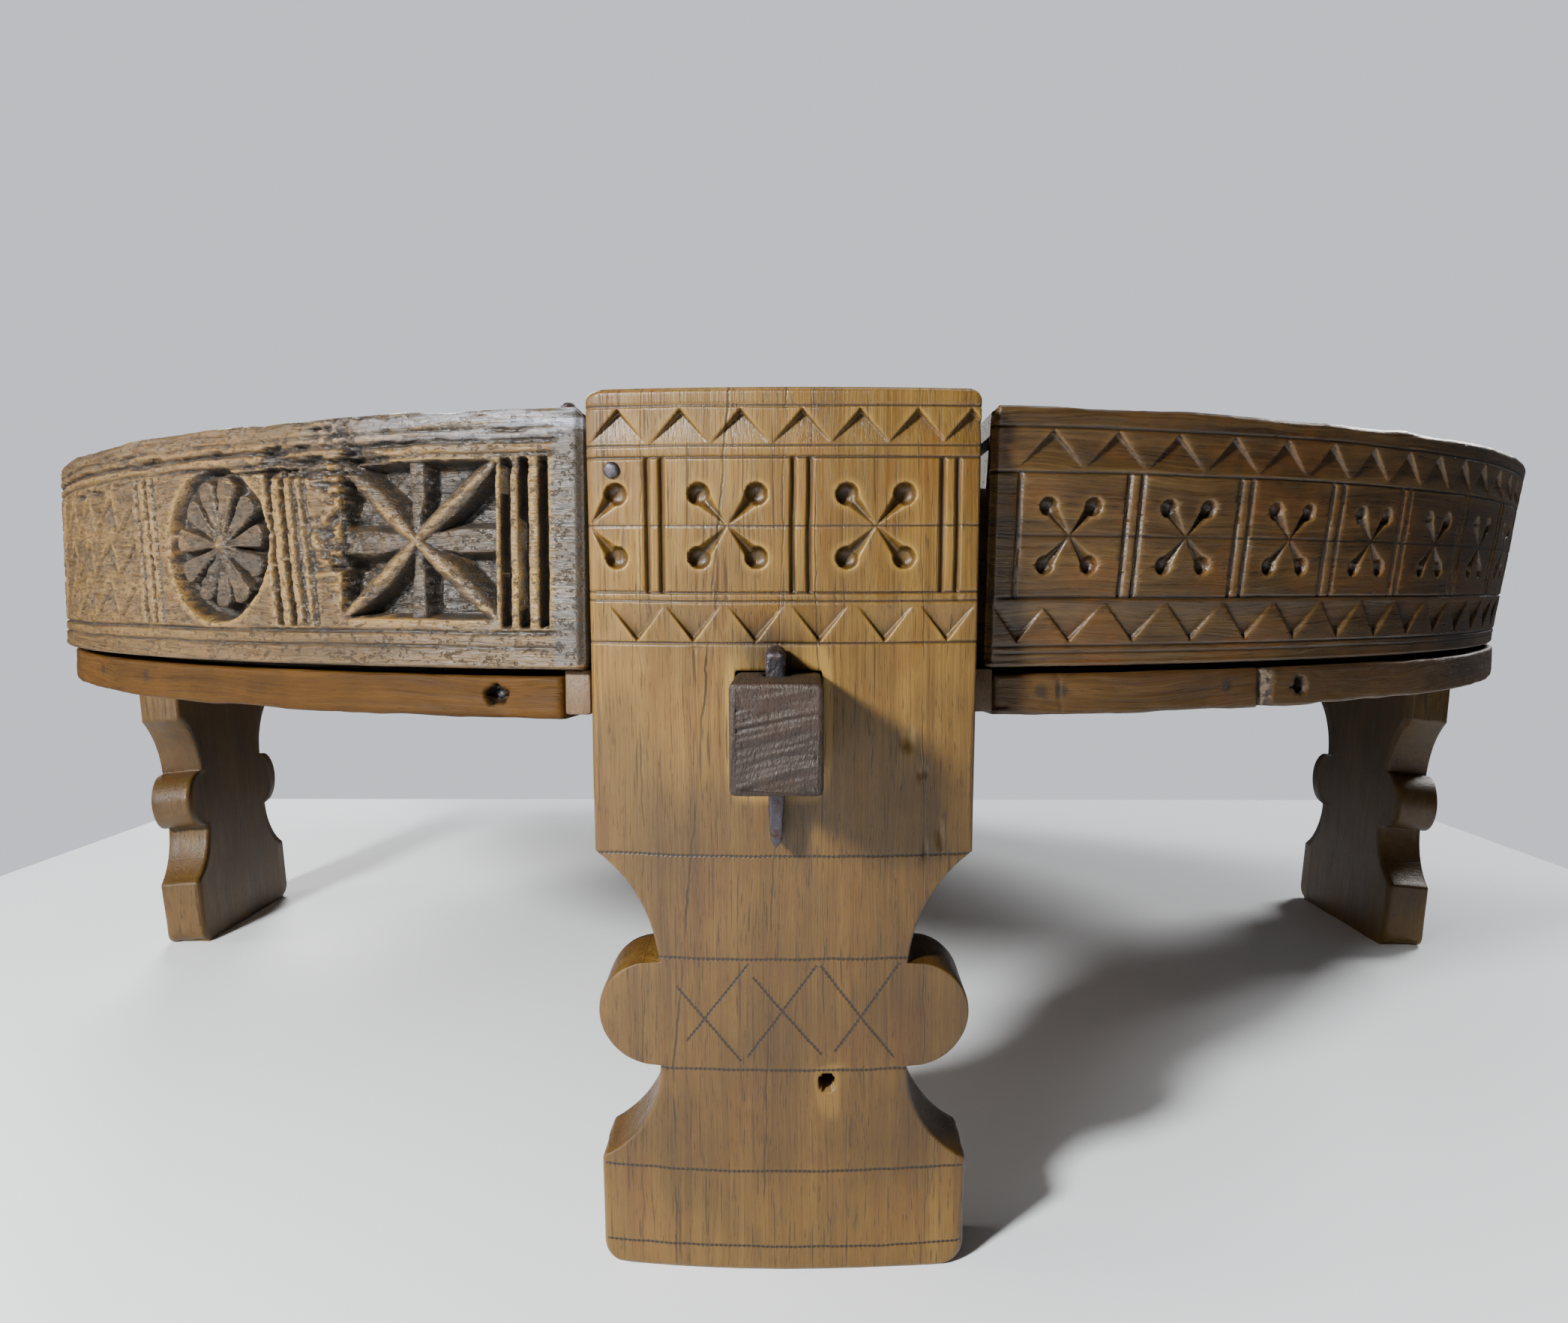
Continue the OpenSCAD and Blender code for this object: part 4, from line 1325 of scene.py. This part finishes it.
def build_stage():
    """A pale floor, a soft light from the upper left, weaker ones all round and a pale room."""
    low, high = (-0.53, -1.2, -0.03), (0.53, 0.375, 0.0)
    bm = bmesh.new()
    bmesh.ops.create_cube(bm, size=1.0)
    for v in bm.verts:
        v.co = [low[k] + (high[k] - low[k]) * (v.co[k] + 0.5) for k in range(3)]
    floor = from_bmesh("floor", bm)
    floor.data.materials.append(plain_material("floor_paint", (0.84, 0.88, 0.93), 0.5))

    world = bpy.data.worlds.new("room")
    bpy.context.scene.world = world
    world.use_nodes = True
    tree = world.node_tree
    shown = tree.nodes["Background"]
    shown.inputs["Color"].default_value = (0.78, 0.81, 0.88, 1)
    shown.inputs["Strength"].default_value = 1.0
    lighting = tree.nodes.new("ShaderNodeBackground")
    lighting.inputs["Color"].default_value = (0.52, 0.57, 0.66, 1)
    lighting.inputs["Strength"].default_value = 0.13
    ray = tree.nodes.new("ShaderNodeLightPath")
    both = tree.nodes.new("ShaderNodeMixShader")
    tree.links.new(ray.outputs["Is Camera Ray"], both.inputs[0])
    tree.links.new(lighting.outputs[0], both.inputs[1])
    tree.links.new(shown.outputs[0], both.inputs[2])
    tree.links.new(both.outputs[0], tree.nodes["World Output"].inputs["Surface"])

    soft_light("key", (-0.52, -0.95, 0.52), 0.13, 27, (1.0, 0.985, 0.95))
    soft_light("fill", (-1.20, -0.30, 0.40), 0.5, 5, (1.0, 0.93, 0.85))
    soft_light("over", (0.2, 0.4, 1.7), 1.0, 9, (0.95, 0.97, 1.0))
    soft_light("back_left", (-0.8, 1.1, 1.0), 0.5, 20, (1.0, 0.98, 0.95))
    soft_light("back_right", (1.2, 0.6, 1.0), 0.5, 20, (1.0, 0.98, 0.95))


LIGHT_AIM = (0, -0.2, 0.15)


def soft_light(name, place_at, size, watts, colour):
    data = bpy.data.lights.new(name, "AREA")
    data.shape = "DISK"
    data.size = size
    data.energy = watts
    data.color = colour
    light = linked(name, data)
    light.location = place_at
    aim = Vector(LIGHT_AIM) - Vector(place_at)
    light.rotation_euler = aim.to_track_quat("-Z", "Y").to_euler()


def build_camera():
    """Level with the tray, close in front of the front leg."""
    place_at = (0.0039, -0.6469, 0.1909)
    yaw, pitch, roll = math.radians(-0.688), math.radians(3.625), math.radians(-0.059)
    forward = Vector((math.sin(yaw) * math.cos(pitch), math.cos(yaw) * math.cos(pitch),
                      -math.sin(pitch)))
    right = Vector((math.cos(yaw), -math.sin(yaw), 0))
    up = right.cross(forward)
    rolled_right = right * math.cos(roll) + up * math.sin(roll)
    rolled_up = up * math.cos(roll) - right * math.sin(roll)
    data = bpy.data.cameras.new("camera")
    data.lens = 25.96
    data.sensor_width = 36
    data.clip_start = 0.01
    camera = linked("camera", data)
    camera.matrix_world = Matrix([
        (rolled_right.x, rolled_up.x, -forward.x, place_at[0]),
        (rolled_right.y, rolled_up.y, -forward.y, place_at[1]),
        (rolled_right.z, rolled_up.z, -forward.z, place_at[2]),
        (0, 0, 0, 1)])
    bpy.context.scene.camera = camera


build_camera()
build_stage()
build_object()
